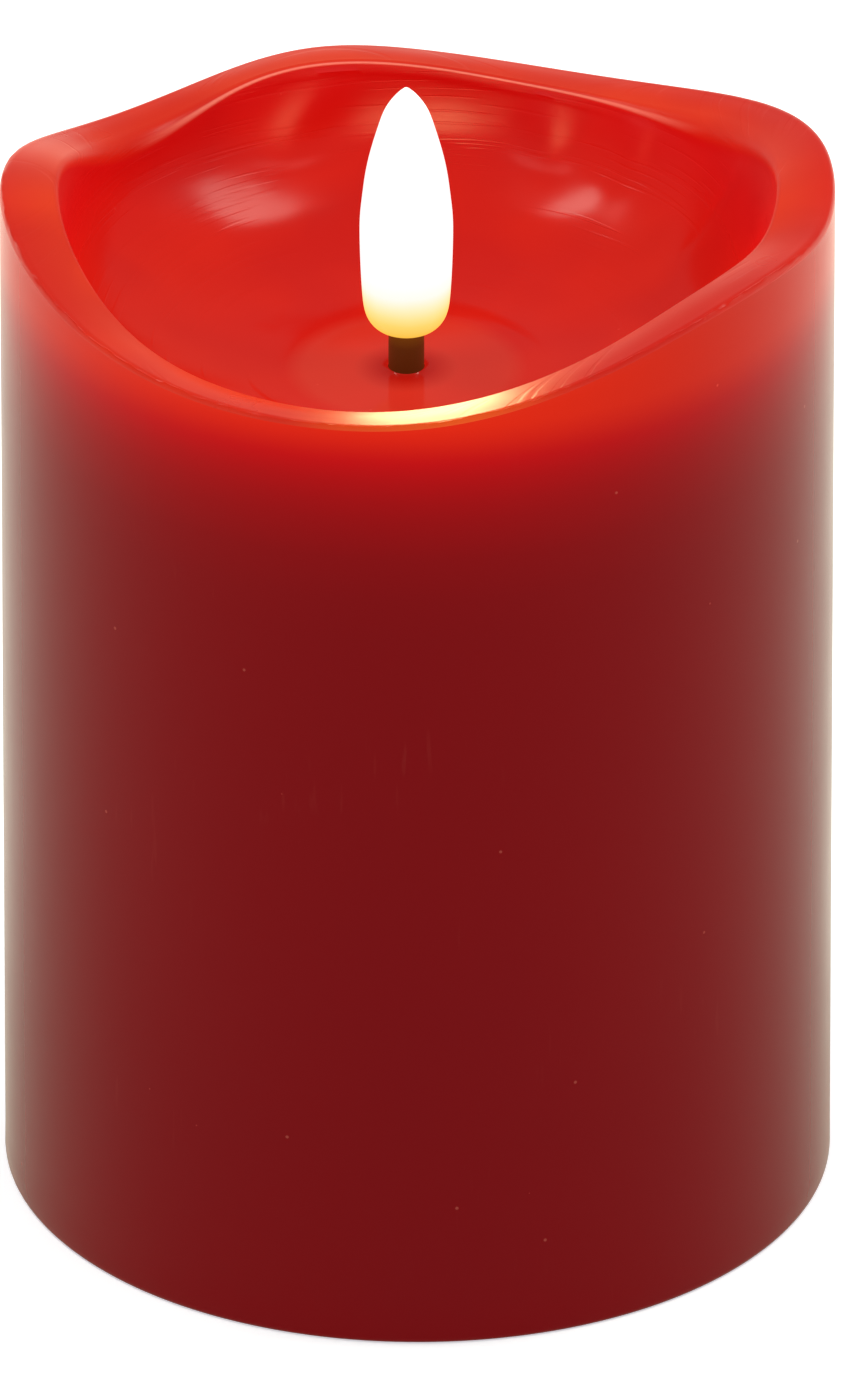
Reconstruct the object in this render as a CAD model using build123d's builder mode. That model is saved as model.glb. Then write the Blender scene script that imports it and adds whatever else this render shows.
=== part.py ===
"""Flameless LED candle: a wax pillar shell on a plastic cup that holds two AA cells,
a control board, a dark wick and a milky flame bulb.

Millimetres. The origin is the centre of the wax foot on the surface that the candle stands
on, +Z is up, -Y is the front (the low side of the rim) and +X is the right-hand side.
"""
from build123d import *
import math
import os

os.makedirs("parts", exist_ok=True)

# ---------------------------------------------------------------- driving dimensions
# AA cells
cell_d = 14.5
cell_length = 50.5       # over the raised terminal
cell_tip_r = 2.75
cell_tip_h = 1.0
cell_shoulder = 0.5      # rounding of the can's ends
cell_pair_gap = 0.6      # between the two cells
cell_side_gap = 0.35     # between a cell and the box wall
cell_top_gap = 0.5       # under the roof of the box
cell_door_gap = 0.6      # above the door

# Contacts and springs
plate_t = 0.3
plate_width = 9.0
plate_height = 9.0
nub_h = 0.35
nub_r = 1.6
nub_root_r = 2.4
tab_width = 2.4
tab_reach = 3.0          # solder tab folded in over the roof of the box
spring_length = 4.0      # pressed down behind a cell
spring_wire = 0.7
spring_r = 3.5           # at the plate
spring_turns = 3
spring_cone = -14.0      # degrees; the coil narrows towards the cell

# Battery base
base_recess = 1.0        # the base stands this far above the foot of the wax
base_gap = 0.3           # gap between the flange and the wax
box_wall = 1.1
box_corner = 3.0
box_cup_gap = 0.25       # least gap between the box's corners and the cup
divider_t = 2.0          # rib between the cells
divider_h = 3.2
divider_length = 40.0

# Battery door
door_t = 1.6
door_lap = 0.875         # the door laps the box's mouth by this much on each side
door_gap = 0.25          # between the door's edge and its recess
door_corner = 3.75
door_shelf_gap = 0.1     # between the door and the shelf above it
shelf_t = 0.5            # flange left above the door's recess
hinge_tab_width = 5.0
hinge_tab_length = 2.2
hinge_tab_t = 1.0
hinge_tab_root = 1.5     # how far a tab runs back onto the door
hinge_tab_x = 15.0
hinge_sill_t = 0.75      # lip of the flange under each tab
hinge_sill_gap = 0.15    # between a tab and that lip
hinge_side_gap = 0.3     # beside each tab
hinge_swing_gap = 0.4    # round a tab as it swings
latch_width = 9.0
latch_t = 0.8            # legs of the U-shaped latch
latch_slot = 1.0         # gap between its two legs
latch_set_back = 0.2     # inner leg behind the door's edge
latch_crown = 0.9        # straight leg above the nose
latch_nose = 0.6
latch_nose_h = 1.2
latch_nose_gap = 0.1     # nose above its sill
latch_pad = 1.8          # finger pad beyond the outer leg
latch_pad_t = 0.7
latch_side_gap = 0.3
latch_clear = 0.15       # the rigid latch swings out past its sill by this much
finger_recess_x = 16.0
finger_recess_y = 6.0
finger_recess_h = 1.0
finger_recess_lap = 1.5  # the recess starts this far inside the sill
grip_line = 0.5
grip_pitch = 1.6
grip_count = 4

# Core cup inside the wax
cup_gap = 0.1            # slip gap between cup and wax
cup_wall = 1.2
cup_draft = 1.7          # the cup is this much slimmer in radius at its closed top
cup_top_t = 1.6
wick_boss_wall = 1.95
wick_boss_h = 8.0
screw_bearing = 50.8     # degrees from +X to the first screw
screw_boss_wall = 1.8
screw_boss_sink = 0.3    # the bosses run into the wall by this much
screw_boss_floor = 1.5   # solid plastic over each screw hole

# Wax pillar
wax_wall = 3.9           # least wall thickness at the foot
wax_step = 0.5           # the pillar's radius is a whole number of these
rim_wall = 5.3           # wall thickness at the rim
pool_z = 79.7            # flat pool round the wick
pool_r = 10.0            # radius of the flat pool
pool_floor = 4.7         # wax between the pool and the cup
pool_lip = 0.35          # raised ring of wax round the wick
dish_depth = 11.3        # from the pool up to where the dished wall turns upright
dish_lip = 1.0           # upright wall below the level that the rim rises from
rim_fillet = 0.6
foot_fillet = 0.5

# The rim, counter-clockwise from +X: bearing in degrees, then how far the outer edge
# and the inner lip rise above rim_z.
rim_rises = [
    (0, 6.7, 6.2), (30, 4.8, 3.0), (45, 2.3, 1.3), (60, 0.3, 0.6), (75, -0.1, 0.7),
    (90, 0.75, 1.7), (105, 1.6, 2.5), (120, 0.65, 1.9), (135, 0.3, 0.2), (150, 2.2, 1.35),
    (165, 5.1, 4.5), (180, 6.6, 6.05), (210, 4.3, 2.7), (225, 2.8, 0.9), (240, 1.8, 0.2),
    (255, 1.5, 0.1), (270, 1.9, 0.7), (285, 3.5, 2.2), (300, 5.9, 4.3), (315, 7.7, 6.2),
    (330, 7.8, 6.4), (345, 6.8, 5.9),
]

# Slide switch
knob_x = 3.0
knob_y = 2.6
knob_stand = 0.3         # the knob stands out of the flange by this much
knob_head = 0.4          # its head is this much wider on each side
knob_head_h = 0.9
knob_gap = 0.3
knob_travel = 4.0        # ON to TIMER, with OFF half way
knob_groove = 0.3
switch_lip = 0.5         # mouth of the switch body
switch_end = 1.6         # its walls past the ends of the knob's travel
switch_side = 0.45
switch_roof = 1.7
switch_float = 1.6       # gap between the switch body and the flange
dish_end = 2.7           # finger dish beyond the slot's ends
dish_side = 1.6
dish_h = 0.8
mark_depth = 0.3
mark_line = 0.5
mark_size = 2.6
mark_gap = 0.6

# Control board, behind the switch, in the segment between the battery box and the cup
board_t = 1.2
board_corner = 1.0
board_gap = 1.95         # between the battery box and the board
board_cup_gap = 0.85
board_boss_gap = 2.3     # to the screw bosses
post_wall = 1.2
post_edge = 2.5          # post from the board's end
chip_x, chip_y, chip_z = 5.0, 4.0, 1.5
chip_offset = -2.0       # chip and resistors from the middle of the board
leg_length, leg_width, leg_t = 1.0, 0.4, 0.25
leg_pitch = 1.27
leg_count = 4
crystal_r, crystal_length = 1.05, 6.0
capacitor_r, capacitor_h = 2.0, 7.0
resistor_x, resistor_y, resistor_z = 1.6, 0.8, 0.5
edge_margin = 0.7        # components keep this far from the board's edges
part_fillet = 0.35

# Screws
screw_r = 1.25
screw_head_r = 2.3
screw_head_h = 1.1
screw_head_gap = 0.25
screw_head_sink = 0.1
screw_length = 8.0
screw_tip_gap = 1.3
screw_gap = 0.15         # shank to its hole
recess_width = 0.7       # cross recess
recess_length = 2.6
recess_depth = 0.6
board_screw_r = 1.0
board_screw_head_r = 2.0
board_screw_head_h = 1.3
board_screw_length = 5.0

# Wires
led_wire_r = 0.45
led_wire_gap = 0.2       # between the LED's two wires
battery_wire_r = 0.6
wire_lift = 0.5          # battery wires rise this much over the roof of the box
wire_arch = 1.9          # and this much more where they cross its edge
wire_drop = 8.4          # height over the board where they turn down
battery_pad_out = 0.8    # battery wires land this far outside the posts
battery_pad_in = 1.8     # and this far from the board's rear edge
led_pad_in = 1.6         # LED wires land this far from its front edge
led_pad_x = -7.0
led_pad_pitch = 1.6

# LED inside the flame
led_r = 1.5
led_flange_r = 1.9
led_flange_h = 0.8
led_gap = 0.1            # round the LED's flange in its seat
led_body_h = 3.2
lead_size = 0.4
lead_length = 7.0

# Wick and flame
wick_x = -1.0            # they stand this far from the pillar's axis
wick_bore_gap = 0.1      # wires to the wick's bore
wick_wall = 0.525
wick_show = 3.3          # wick seen between the pool and the flame
wick_gap = 0.25          # wick to wax
wick_fit = 0.05          # wick to the plastic that grips it
wick_collar = 1.1        # collar under the cup's boss, beyond the wick
wick_collar_h = 1.5
flame_r = 4.25
flame_h = 25.8
flame_wall = 0.9
flame_socket = 1.4       # how far the wick enters the bulb
flame_shelf = 0.8        # solid plastic between the wick and the LED
# Outline of the flame bulb, foot to tip, as shares of its radius and height.
flame_outline = [
    (0.46, 0.0), (0.75, 0.045), (0.89, 0.12), (0.965, 0.22), (1.0, 0.41),
    (0.955, 0.66), (0.80, 0.775), (0.56, 0.885), (0.30, 0.96), (0.0, 1.0),
]

# ---------------------------------------------------------------- worked-out places
# Heights, from the foot up
base_z = base_recess
door_top_z = base_z + door_t
shelf_z = door_top_z + door_shelf_gap
flange_z = shelf_z + shelf_t
flange_t = flange_z - base_z
cell_z = door_top_z + cell_door_gap + cell_d / 2
box_roof_z = cell_z + cell_d / 2 + cell_top_gap
box_top_z = box_roof_z + box_wall
cup_top_z = pool_z - pool_floor
dish_top_z = pool_z + dish_depth
rim_z = dish_top_z + dish_lip
wick_bottom_z = cup_top_z - wick_boss_h - wick_collar_h
flame_z = pool_z + wick_show
wick_top_z = flame_z + flame_socket
led_z = wick_top_z + flame_shelf

# Battery box
cell_y = (cell_d + cell_pair_gap) / 2
box_x = plate_t + nub_h + cell_length + spring_length + plate_t
box_y = 2 * (cell_y + cell_d / 2 + cell_side_gap)
box_end = box_x / 2
box_side = box_y / 2
tip_x = box_end - plate_t - nub_h
box_reach = math.hypot(box_end - box_corner, box_side - box_corner) + box_corner + box_wall

# Cup and pillar: wide enough for the box at the height of its roof
cup_slope = cup_draft / (cup_top_z - flange_z)
cup_need = box_reach + box_cup_gap + cup_slope * (box_top_z - flange_z) + cup_wall
wax_r = wax_step * math.ceil((cup_need + cup_gap + wax_wall) / wax_step)
cavity_r = wax_r - wax_wall
mouth_r = wax_r - rim_wall
cup_r = cavity_r - cup_gap
cup_inner_r = cup_r - cup_wall

# Door, hinge and latch; the door's tabs roll over the rounded edge of the sill
door_x = box_x + 2 * door_lap
door_y = box_y + 2 * door_lap
recess_x = door_x + 2 * door_gap
recess_y = door_y + 2 * door_gap
hinge_r = hinge_sill_t / 2
hinge_y = -recess_y / 2 - hinge_r
hinge_z = base_z + hinge_r
hinge_tab_z = base_z + hinge_sill_t + hinge_sill_gap
hinge_tab_run = door_y / 2 + hinge_tab_length + hinge_y
hinge_tab_rise = hinge_tab_z + hinge_tab_t - hinge_z
hinge_reach = math.hypot(hinge_tab_run, hinge_tab_rise) + hinge_swing_gap
latch_leg_y = door_y / 2 - latch_t - latch_set_back
latch_outer_y = latch_leg_y + 2 * latch_t + latch_slot
latch_tip_y = latch_outer_y + latch_nose
latch_nose_z = flange_z + latch_nose_gap
latch_top_z = latch_nose_z + latch_nose_h + latch_crown + latch_t
nose_reach = math.hypot(latch_tip_y - hinge_y, latch_nose_z - hinge_z)
crown_reach = math.hypot(latch_outer_y - hinge_y, latch_top_z - hinge_z)
sill_y = hinge_y + max(nose_reach, crown_reach) + latch_clear

# Screws and their bosses
screw_seat_z = base_z + screw_head_sink + screw_head_h
screw_hole_top_z = screw_seat_z + screw_length + screw_tip_gap
screw_boss_r = screw_r + screw_gap + screw_boss_wall
screw_ring_r = cup_inner_r - screw_boss_r + screw_boss_sink
screw_x = screw_ring_r * math.cos(math.radians(screw_bearing))
screw_y = screw_ring_r * math.sin(math.radians(screw_bearing))
screw_places = [(x, y) for x in (-screw_x, screw_x) for y in (-screw_y, screw_y)]

# Switch and board
slot_x = knob_x + knob_travel + 2 * knob_gap
slot_y = knob_y + 2 * knob_gap
knob_rest = -knob_travel / 2
switch_x = slot_x + 2 * (knob_head + switch_end)
switch_y = slot_y + 2 * (knob_head + switch_side) - knob_gap
switch_cave_h = knob_head_h + 2 * knob_gap
switch_h = switch_lip + switch_cave_h + switch_roof
switch_z = flange_z + switch_float
board_z = switch_z + switch_h
board_top_z = board_z + board_t
board_x = 2 * (screw_x - screw_boss_r - board_boss_gap)
board_rear_y = -(box_side + box_wall + board_gap)
board_reach = cup_inner_r - cup_slope * (board_top_z - flange_z) - board_cup_gap
board_front_y = -math.sqrt(board_reach**2 - (board_x / 2) ** 2)
board_y = board_rear_y - board_front_y
board_mid_y = (board_rear_y + board_front_y) / 2
post_x = board_x / 2 - post_edge
post_r = board_screw_r + post_wall
post_places = [(-post_x, board_mid_y), (post_x, board_mid_y)]
dish_x = slot_x + 2 * dish_end
dish_y = slot_y + 2 * dish_side

# Wick, from the wires out
lead_offset = led_wire_r + led_wire_gap / 2
wick_bore_r = lead_offset + led_wire_r + wick_bore_gap
wick_r = wick_bore_r + wick_wall
wick_hole_r = wick_r + wick_gap
wick_axis = Axis((wick_x, 0, 0), (0, 0, 1))
wick_front = Plane(origin=(wick_x, 0, 0), x_dir=(1, 0, 0), z_dir=(0, -1, 0))


def wick_level(height):
    """A level plane at one height, centred on the wick."""
    return Plane(origin=(wick_x, 0, height))


def arc_radii(points):
    """The radius of the arc at each corner of a wire's route."""
    radii = []
    for before, corner, after in zip(points, points[1:], points[2:]):
        run_in = Vector(*corner) - Vector(*before)
        run_out = Vector(*after) - Vector(*corner)
        turn = math.radians(run_in.get_angle(run_out))
        radii.append(0.45 * min(run_in.length, run_out.length) / math.tan(turn / 2))
    return radii


# ---------------------------------------------------------------- wax pillar shell
def rim_edge(radius):
    """The rim's height round the pillar at one radius, run on from its two edges."""
    share = (radius - mouth_r) / rim_wall
    points = []
    for bearing, outer, inner in rim_rises:
        angle = math.radians(bearing)
        height = rim_z + inner + share * (outer - inner)
        points.append((radius * math.cos(angle), radius * math.sin(angle), height))
    return Spline(*points, periodic=True)


rim_top_z = dish_top_z + 2 * dish_depth
rim_face = Face.make_surface_from_curves(rim_edge(wax_r + rim_wall), rim_edge(mouth_r - rim_wall))

with BuildPart() as wax_body:
    with BuildSketch(Plane.XZ):
        with BuildLine():
            Line((cavity_r, 0), (wax_r, 0))
            Line((wax_r, 0), (wax_r, rim_top_z))
            Line((wax_r, rim_top_z), (mouth_r, rim_top_z))
            Line((mouth_r, rim_top_z), (mouth_r, dish_top_z))
            EllipticalCenterArc(
                (pool_r, dish_top_z), mouth_r - pool_r, dish_top_z - pool_z, 270, arc_size=90
            )
            Line((pool_r, pool_z), (0, pool_z))
            Line((0, pool_z), (0, cup_top_z))
            Line((0, cup_top_z), (cavity_r - cup_draft, cup_top_z))
            Line((cavity_r - cup_draft, cup_top_z), (cavity_r, flange_z))
            Line((cavity_r, flange_z), (cavity_r, 0))
        make_face()
    revolve(axis=Axis.Z)
    extrude(rim_face, amount=rim_top_z, dir=(0, 0, 1), mode=Mode.SUBTRACT)
    # A low ring of wax stands round the wick, and the wick's hole runs down through it.
    with BuildSketch(wick_front):
        with BuildLine():
            Polyline(
                (0, cup_top_z),
                (wick_hole_r + 3 * pool_lip, cup_top_z),
                (wick_hole_r + 3 * pool_lip, pool_z),
                (wick_hole_r + pool_lip, pool_z + pool_lip),
                (0, pool_z + pool_lip),
                close=True,
            )
        make_face()
    revolve(axis=wick_axis)
    with BuildSketch(wick_level(cup_top_z)):
        Circle(wick_hole_r)
    extrude(amount=pool_floor + pool_lip, mode=Mode.SUBTRACT)
    rim_band = wax_body.faces().sort_by(Axis.Z)[-1]
    fillet(rim_band.edges().sort_by(SortBy.LENGTH)[1:], rim_fillet)
    foot_ring = wax_body.faces().sort_by(Axis.Z)[0]
    fillet(foot_ring.edges().sort_by(SortBy.LENGTH)[-1], foot_fillet)
wax_body.part.label = "wax_body"
export_step(wax_body.part, "parts/wax_body.step")

# ---------------------------------------------------------------- core cup
with BuildPart() as core_cup:
    with BuildSketch(Plane.XZ):
        with BuildLine():
            Polyline(
                (cup_inner_r, flange_z),
                (cup_r, flange_z),
                (cup_r - cup_draft, cup_top_z),
                (0, cup_top_z),
                (0, cup_top_z - cup_top_t),
                (cup_inner_r - cup_draft, cup_top_z - cup_top_t),
                close=True,
            )
        make_face()
    revolve(axis=Axis.Z)
    # The boss that grips the wick.
    with BuildSketch(wick_level(cup_top_z)):
        Circle(wick_r + wick_fit + wick_boss_wall)
    extrude(amount=-wick_boss_h)
    with BuildSketch(wick_level(cup_top_z)):
        Circle(wick_r + wick_fit)
    extrude(amount=-wick_boss_h, mode=Mode.SUBTRACT)
    # Four screw bosses that run into the wall.
    with BuildSketch(Plane.XY.offset(flange_z)):
        with Locations(*screw_places):
            Circle(screw_boss_r)
        Circle(cup_r - cup_wall / 2, mode=Mode.INTERSECT)
    extrude(amount=screw_hole_top_z + screw_boss_floor - flange_z)
    with BuildSketch(Plane.XY.offset(flange_z)):
        with Locations(*screw_places):
            Circle(screw_r + screw_gap)
    extrude(amount=screw_hole_top_z - flange_z, mode=Mode.SUBTRACT)
core_cup.part.label = "core_cup"
export_step(core_cup.part, "parts/core_cup.step")

# ---------------------------------------------------------------- battery base
with BuildPart() as battery_base:
    with BuildSketch(Plane.XY.offset(base_z)):
        Circle(cavity_r - base_gap)
    extrude(amount=flange_t)
    with BuildSketch(Plane.XY.offset(base_z)):
        RectangleRounded(box_x + 2 * box_wall, box_y + 2 * box_wall, box_corner + box_wall)
    extrude(amount=box_top_z - base_z)
    with BuildSketch(Plane.XY.offset(flange_z)):
        with Locations(*post_places):
            Circle(post_r)
    extrude(amount=board_z - flange_z)
    # The battery box, its shelf for the door and the rib between the cells.
    with BuildSketch(Plane.XY.offset(base_z)):
        RectangleRounded(box_x, box_y, box_corner)
    extrude(amount=box_roof_z - base_z, mode=Mode.SUBTRACT)
    with BuildSketch(Plane.XY.offset(base_z)):
        RectangleRounded(recess_x, recess_y, door_corner + door_gap)
    extrude(amount=shelf_z - base_z, mode=Mode.SUBTRACT)
    with BuildSketch(Plane.XY.offset(box_roof_z - divider_h)):
        Rectangle(divider_length, divider_t)
    extrude(amount=divider_h)
    # Hinge pockets: each tab swings over a thin sill at the door's front edge.
    pocket_front = hinge_y - hinge_reach
    pocket_rear = -box_side + hinge_swing_gap
    with BuildSketch(Plane.XY.offset(base_z + hinge_sill_t)):
        with Locations((0, (pocket_front + pocket_rear) / 2)):
            with GridLocations(2 * hinge_tab_x, 0, 2, 1):
                Rectangle(hinge_tab_width + 2 * hinge_side_gap, pocket_rear - pocket_front)
    extrude(amount=hinge_z + hinge_reach - base_z - hinge_sill_t, mode=Mode.SUBTRACT)
    # The sill's edge is a half round about the hinge's axis.
    with BuildSketch(Plane.YZ.offset(-hinge_tab_x), Plane.YZ.offset(hinge_tab_x)):
        with Locations((hinge_y + hinge_r / 2, hinge_z)):
            Rectangle(hinge_r, hinge_sill_t)
        with Locations((hinge_y, hinge_z)):
            Circle(hinge_r, mode=Mode.SUBTRACT)
    extrude(amount=hinge_tab_width / 2 + hinge_side_gap, both=True, mode=Mode.SUBTRACT)
    # Latch opening in the rear wall, and a scoop for a fingertip.
    latch_inside = latch_leg_y - latch_set_back
    with BuildSketch(Plane.XY.offset(base_z)):
        with Locations((0, (latch_inside + sill_y) / 2)):
            Rectangle(latch_width + 2 * latch_side_gap, sill_y - latch_inside)
    extrude(amount=latch_top_z + latch_side_gap - base_z, mode=Mode.SUBTRACT)
    with BuildSketch(Plane.XY.offset(base_z)):
        with Locations((0, sill_y + finger_recess_y / 2 - finger_recess_lap)):
            RectangleRounded(finger_recess_x, finger_recess_y, 0.49 * finger_recess_y)
    extrude(amount=finger_recess_h, mode=Mode.SUBTRACT)
    # Finger dish and slot for the switch knob.
    with BuildSketch(Plane.XY.offset(base_z)):
        with Locations((0, board_mid_y)):
            RectangleRounded(dish_x, dish_y, 0.49 * dish_y)
    extrude(amount=dish_h, mode=Mode.SUBTRACT)
    with BuildSketch(Plane.XY.offset(base_z)):
        with Locations((0, board_mid_y)):
            Rectangle(slot_x, slot_y)
    extrude(amount=flange_t, mode=Mode.SUBTRACT)
    # Screw holes, counterbored from below, and pilots in the posts.
    with BuildSketch(Plane.XY.offset(base_z)):
        with Locations(*screw_places):
            Circle(screw_head_r + screw_head_gap)
    extrude(amount=screw_seat_z - base_z, mode=Mode.SUBTRACT)
    with BuildSketch(Plane.XY.offset(base_z)):
        with Locations(*screw_places):
            Circle(screw_r + screw_gap)
    extrude(amount=flange_t, mode=Mode.SUBTRACT)
    with BuildSketch(Plane.XY.offset(board_z)):
        with Locations(*post_places):
            Circle(board_screw_r)
    extrude(amount=-board_screw_length, mode=Mode.SUBTRACT)
    # Slots in the roof for the contacts' solder tabs.
    with BuildSketch(Plane.XY.offset(box_roof_z)):
        with Locations((box_end - plate_t / 2, -cell_y), (box_end - plate_t / 2, cell_y)):
            Rectangle(plate_t, tab_width)
    extrude(amount=box_wall, mode=Mode.SUBTRACT)
    # Engraved marks: a bar for ON, a ring for OFF and a clock for TIMER.
    mark_x = dish_x / 2 + mark_size / 2 + 2 * mark_gap
    with BuildSketch(Plane.XY.offset(base_z)):
        with Locations((-mark_x, board_mid_y)):
            Rectangle(mark_line, mark_size)
        with Locations((0, board_mid_y - dish_y / 2 - mark_size / 2 - mark_gap), (mark_x, board_mid_y)):
            Circle(mark_size / 2)
            Circle(mark_size / 2 - mark_line, mode=Mode.SUBTRACT)
        with Locations((mark_x + mark_size / 8, board_mid_y)):
            Rectangle(mark_size / 4 + mark_line, mark_line)
        with Locations((mark_x, board_mid_y + mark_size / 8)):
            Rectangle(mark_line, mark_size / 4 + mark_line)
    extrude(amount=mark_depth, mode=Mode.SUBTRACT)
battery_base.part.label = "battery_base"
export_step(battery_base.part, "parts/battery_base.step")

# ---------------------------------------------------------------- battery door
with BuildPart() as battery_door:
    with BuildSketch(Plane.XY.offset(base_z)):
        RectangleRounded(door_x, door_y, door_corner)
    extrude(amount=door_t)
    # Two hinge tabs on the front edge.
    tab_middle = -(door_y + hinge_tab_length - hinge_tab_root) / 2
    with BuildSketch(Plane.XY.offset(hinge_tab_z)):
        with Locations((0, tab_middle)):
            with GridLocations(2 * hinge_tab_x, 0, 2, 1):
                Rectangle(hinge_tab_width, hinge_tab_length + hinge_tab_root)
    extrude(amount=hinge_tab_t)
    # U-shaped latch with its nose level with the sill, and a pad for the fingertip.
    with BuildSketch(Plane.YZ):
        with BuildLine():
            Polyline(
                (latch_leg_y, door_top_z),
                (latch_leg_y, latch_top_z),
                (latch_outer_y, latch_top_z),
                (latch_outer_y, latch_nose_z + latch_nose_h),
                (latch_tip_y, latch_nose_z),
                (latch_outer_y, latch_nose_z),
                (latch_outer_y, base_z + latch_pad_t),
                (latch_outer_y + latch_pad, base_z + latch_pad_t),
                (latch_outer_y + latch_pad, base_z),
                (latch_outer_y - latch_t, base_z),
                (latch_outer_y - latch_t, latch_top_z - latch_t),
                (latch_leg_y + latch_t, latch_top_z - latch_t),
                (latch_leg_y + latch_t, door_top_z),
                close=True,
            )
        make_face()
    extrude(amount=latch_width / 2, both=True)
    # Grip lines beside the latch.
    with BuildSketch(Plane.XY.offset(base_z)):
        with Locations((0, door_y / 2 - grip_count * grip_pitch)):
            with GridLocations(0, grip_pitch, 1, grip_count):
                SlotOverall(latch_width, grip_line)
    extrude(amount=mark_depth, mode=Mode.SUBTRACT)
battery_door.part.label = "battery_door"
export_step(battery_door.part, "parts/battery_door.step")

# ---------------------------------------------------------------- switch
knob_head_z = switch_z + switch_lip + knob_gap
with BuildPart() as switch_knob:
    with BuildSketch(Plane.XY.offset(base_z - knob_stand)):
        with Locations((knob_rest, board_mid_y)):
            Rectangle(knob_x, knob_y)
    extrude(amount=knob_head_z + knob_head_h - base_z + knob_stand)
    with BuildSketch(Plane.XY.offset(knob_head_z)):
        with Locations((knob_rest, board_mid_y)):
            Rectangle(knob_x + 2 * knob_head, knob_y + 2 * knob_head)
    extrude(amount=knob_head_h)
    with BuildSketch(Plane.XY.offset(base_z - knob_stand)):
        with Locations((knob_rest, board_mid_y)):
            with GridLocations(knob_x / 3, 0, 3, 1):
                Rectangle(knob_groove, knob_y)
    extrude(amount=knob_groove, mode=Mode.SUBTRACT)
switch_knob.part.label = "switch_knob"
export_step(switch_knob.part, "parts/switch_knob.step")

with BuildPart() as switch_body:
    with BuildSketch(Plane.XY.offset(switch_z)):
        with Locations((0, board_mid_y)):
            Rectangle(switch_x, switch_y)
    extrude(amount=switch_h)
    with BuildSketch(Plane.XY.offset(switch_z)):
        with Locations((0, board_mid_y)):
            Rectangle(slot_x, slot_y)
    extrude(amount=switch_lip, mode=Mode.SUBTRACT)
    with BuildSketch(Plane.XY.offset(switch_z + switch_lip)):
        with Locations((0, board_mid_y)):
            Rectangle(slot_x + 2 * knob_head, slot_y + 2 * knob_head - knob_gap)
    extrude(amount=switch_cave_h, mode=Mode.SUBTRACT)
switch_body.part.label = "switch_body"
export_step(switch_body.part, "parts/switch_body.step")

# ---------------------------------------------------------------- control board
with BuildPart() as control_board:
    with BuildSketch(Plane.XY.offset(board_z)):
        with Locations((0, board_mid_y)):
            RectangleRounded(board_x, board_y, board_corner)
        with Locations(*post_places):
            Circle(board_screw_r + screw_gap, mode=Mode.SUBTRACT)
    extrude(amount=board_t)
control_board.part.label = "control_board"
export_step(control_board.part, "parts/control_board.step")

chip_place = (chip_offset, board_rear_y - edge_margin - leg_length - chip_y / 2)
with BuildPart() as control_chip:
    with BuildSketch(Plane.XY.offset(board_top_z + leg_t)):
        with Locations(chip_place):
            Rectangle(chip_x, chip_y)
    extrude(amount=chip_z)
    chamfer(control_chip.faces().sort_by(Axis.Z)[-1].edges(), leg_t)
    with BuildSketch(Plane.XY.offset(board_top_z)):
        with Locations(chip_place):
            with GridLocations(leg_pitch, chip_y + leg_length / 2, leg_count, 2):
                Rectangle(leg_width, leg_length)
    extrude(amount=2 * leg_t)
control_chip.part.label = "control_chip"
export_step(control_chip.part, "parts/control_chip.step")

with BuildPart() as timer_crystal:
    crystal_x = chip_offset + chip_x / 2 + 2 * edge_margin
    crystal_y = board_rear_y - edge_margin - crystal_r
    can_start = Plane(origin=(crystal_x, crystal_y, board_top_z + crystal_r), z_dir=(1, 0, 0))
    with BuildSketch(can_start):
        Circle(crystal_r)
    extrude(amount=crystal_length)
    fillet(timer_crystal.edges().sort_by(Axis.X)[-1], part_fillet)
timer_crystal.part.label = "timer_crystal"
export_step(timer_crystal.part, "parts/timer_crystal.step")

with BuildPart() as filter_capacitor:
    with BuildSketch(Plane.XY.offset(board_top_z)):
        with Locations((crystal_x + crystal_length / 2, crystal_y - 2 * edge_margin - 2 * capacitor_r)):
            Circle(capacitor_r)
    extrude(amount=capacitor_h)
    fillet(filter_capacitor.edges().filter_by(GeomType.CIRCLE), part_fillet)
filter_capacitor.part.label = "filter_capacitor"
export_step(filter_capacitor.part, "parts/filter_capacitor.step")

with BuildPart() as board_resistors:
    with BuildSketch(Plane.XY.offset(board_top_z)):
        with Locations((chip_offset, board_front_y + edge_margin + resistor_y / 2)):
            with GridLocations(2 * resistor_x, 0, 3, 1):
                Rectangle(resistor_x, resistor_y)
    extrude(amount=resistor_z)
board_resistors.part.label = "board_resistors"
export_step(board_resistors.part, "parts/board_resistors.step")

# ---------------------------------------------------------------- screws
with BuildPart() as board_screws:
    with BuildSketch(Plane.XY.offset(board_top_z)):
        with Locations(*post_places):
            Circle(board_screw_head_r)
    extrude(amount=board_screw_head_h)
    fillet(board_screws.edges().group_by(Axis.Z)[-1], part_fillet)
    with BuildSketch(Plane.XY.offset(board_top_z)):
        with Locations(*post_places):
            Circle(board_screw_r)
    extrude(amount=-board_screw_length)
    with BuildSketch(Plane.XY.offset(board_top_z + board_screw_head_h)):
        with Locations(*post_places):
            Rectangle(recess_length, recess_width)
            Rectangle(recess_width, recess_length)
    extrude(amount=-recess_depth, mode=Mode.SUBTRACT)
board_screws.part.label = "board_screws"
export_step(board_screws.part, "parts/board_screws.step")

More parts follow.
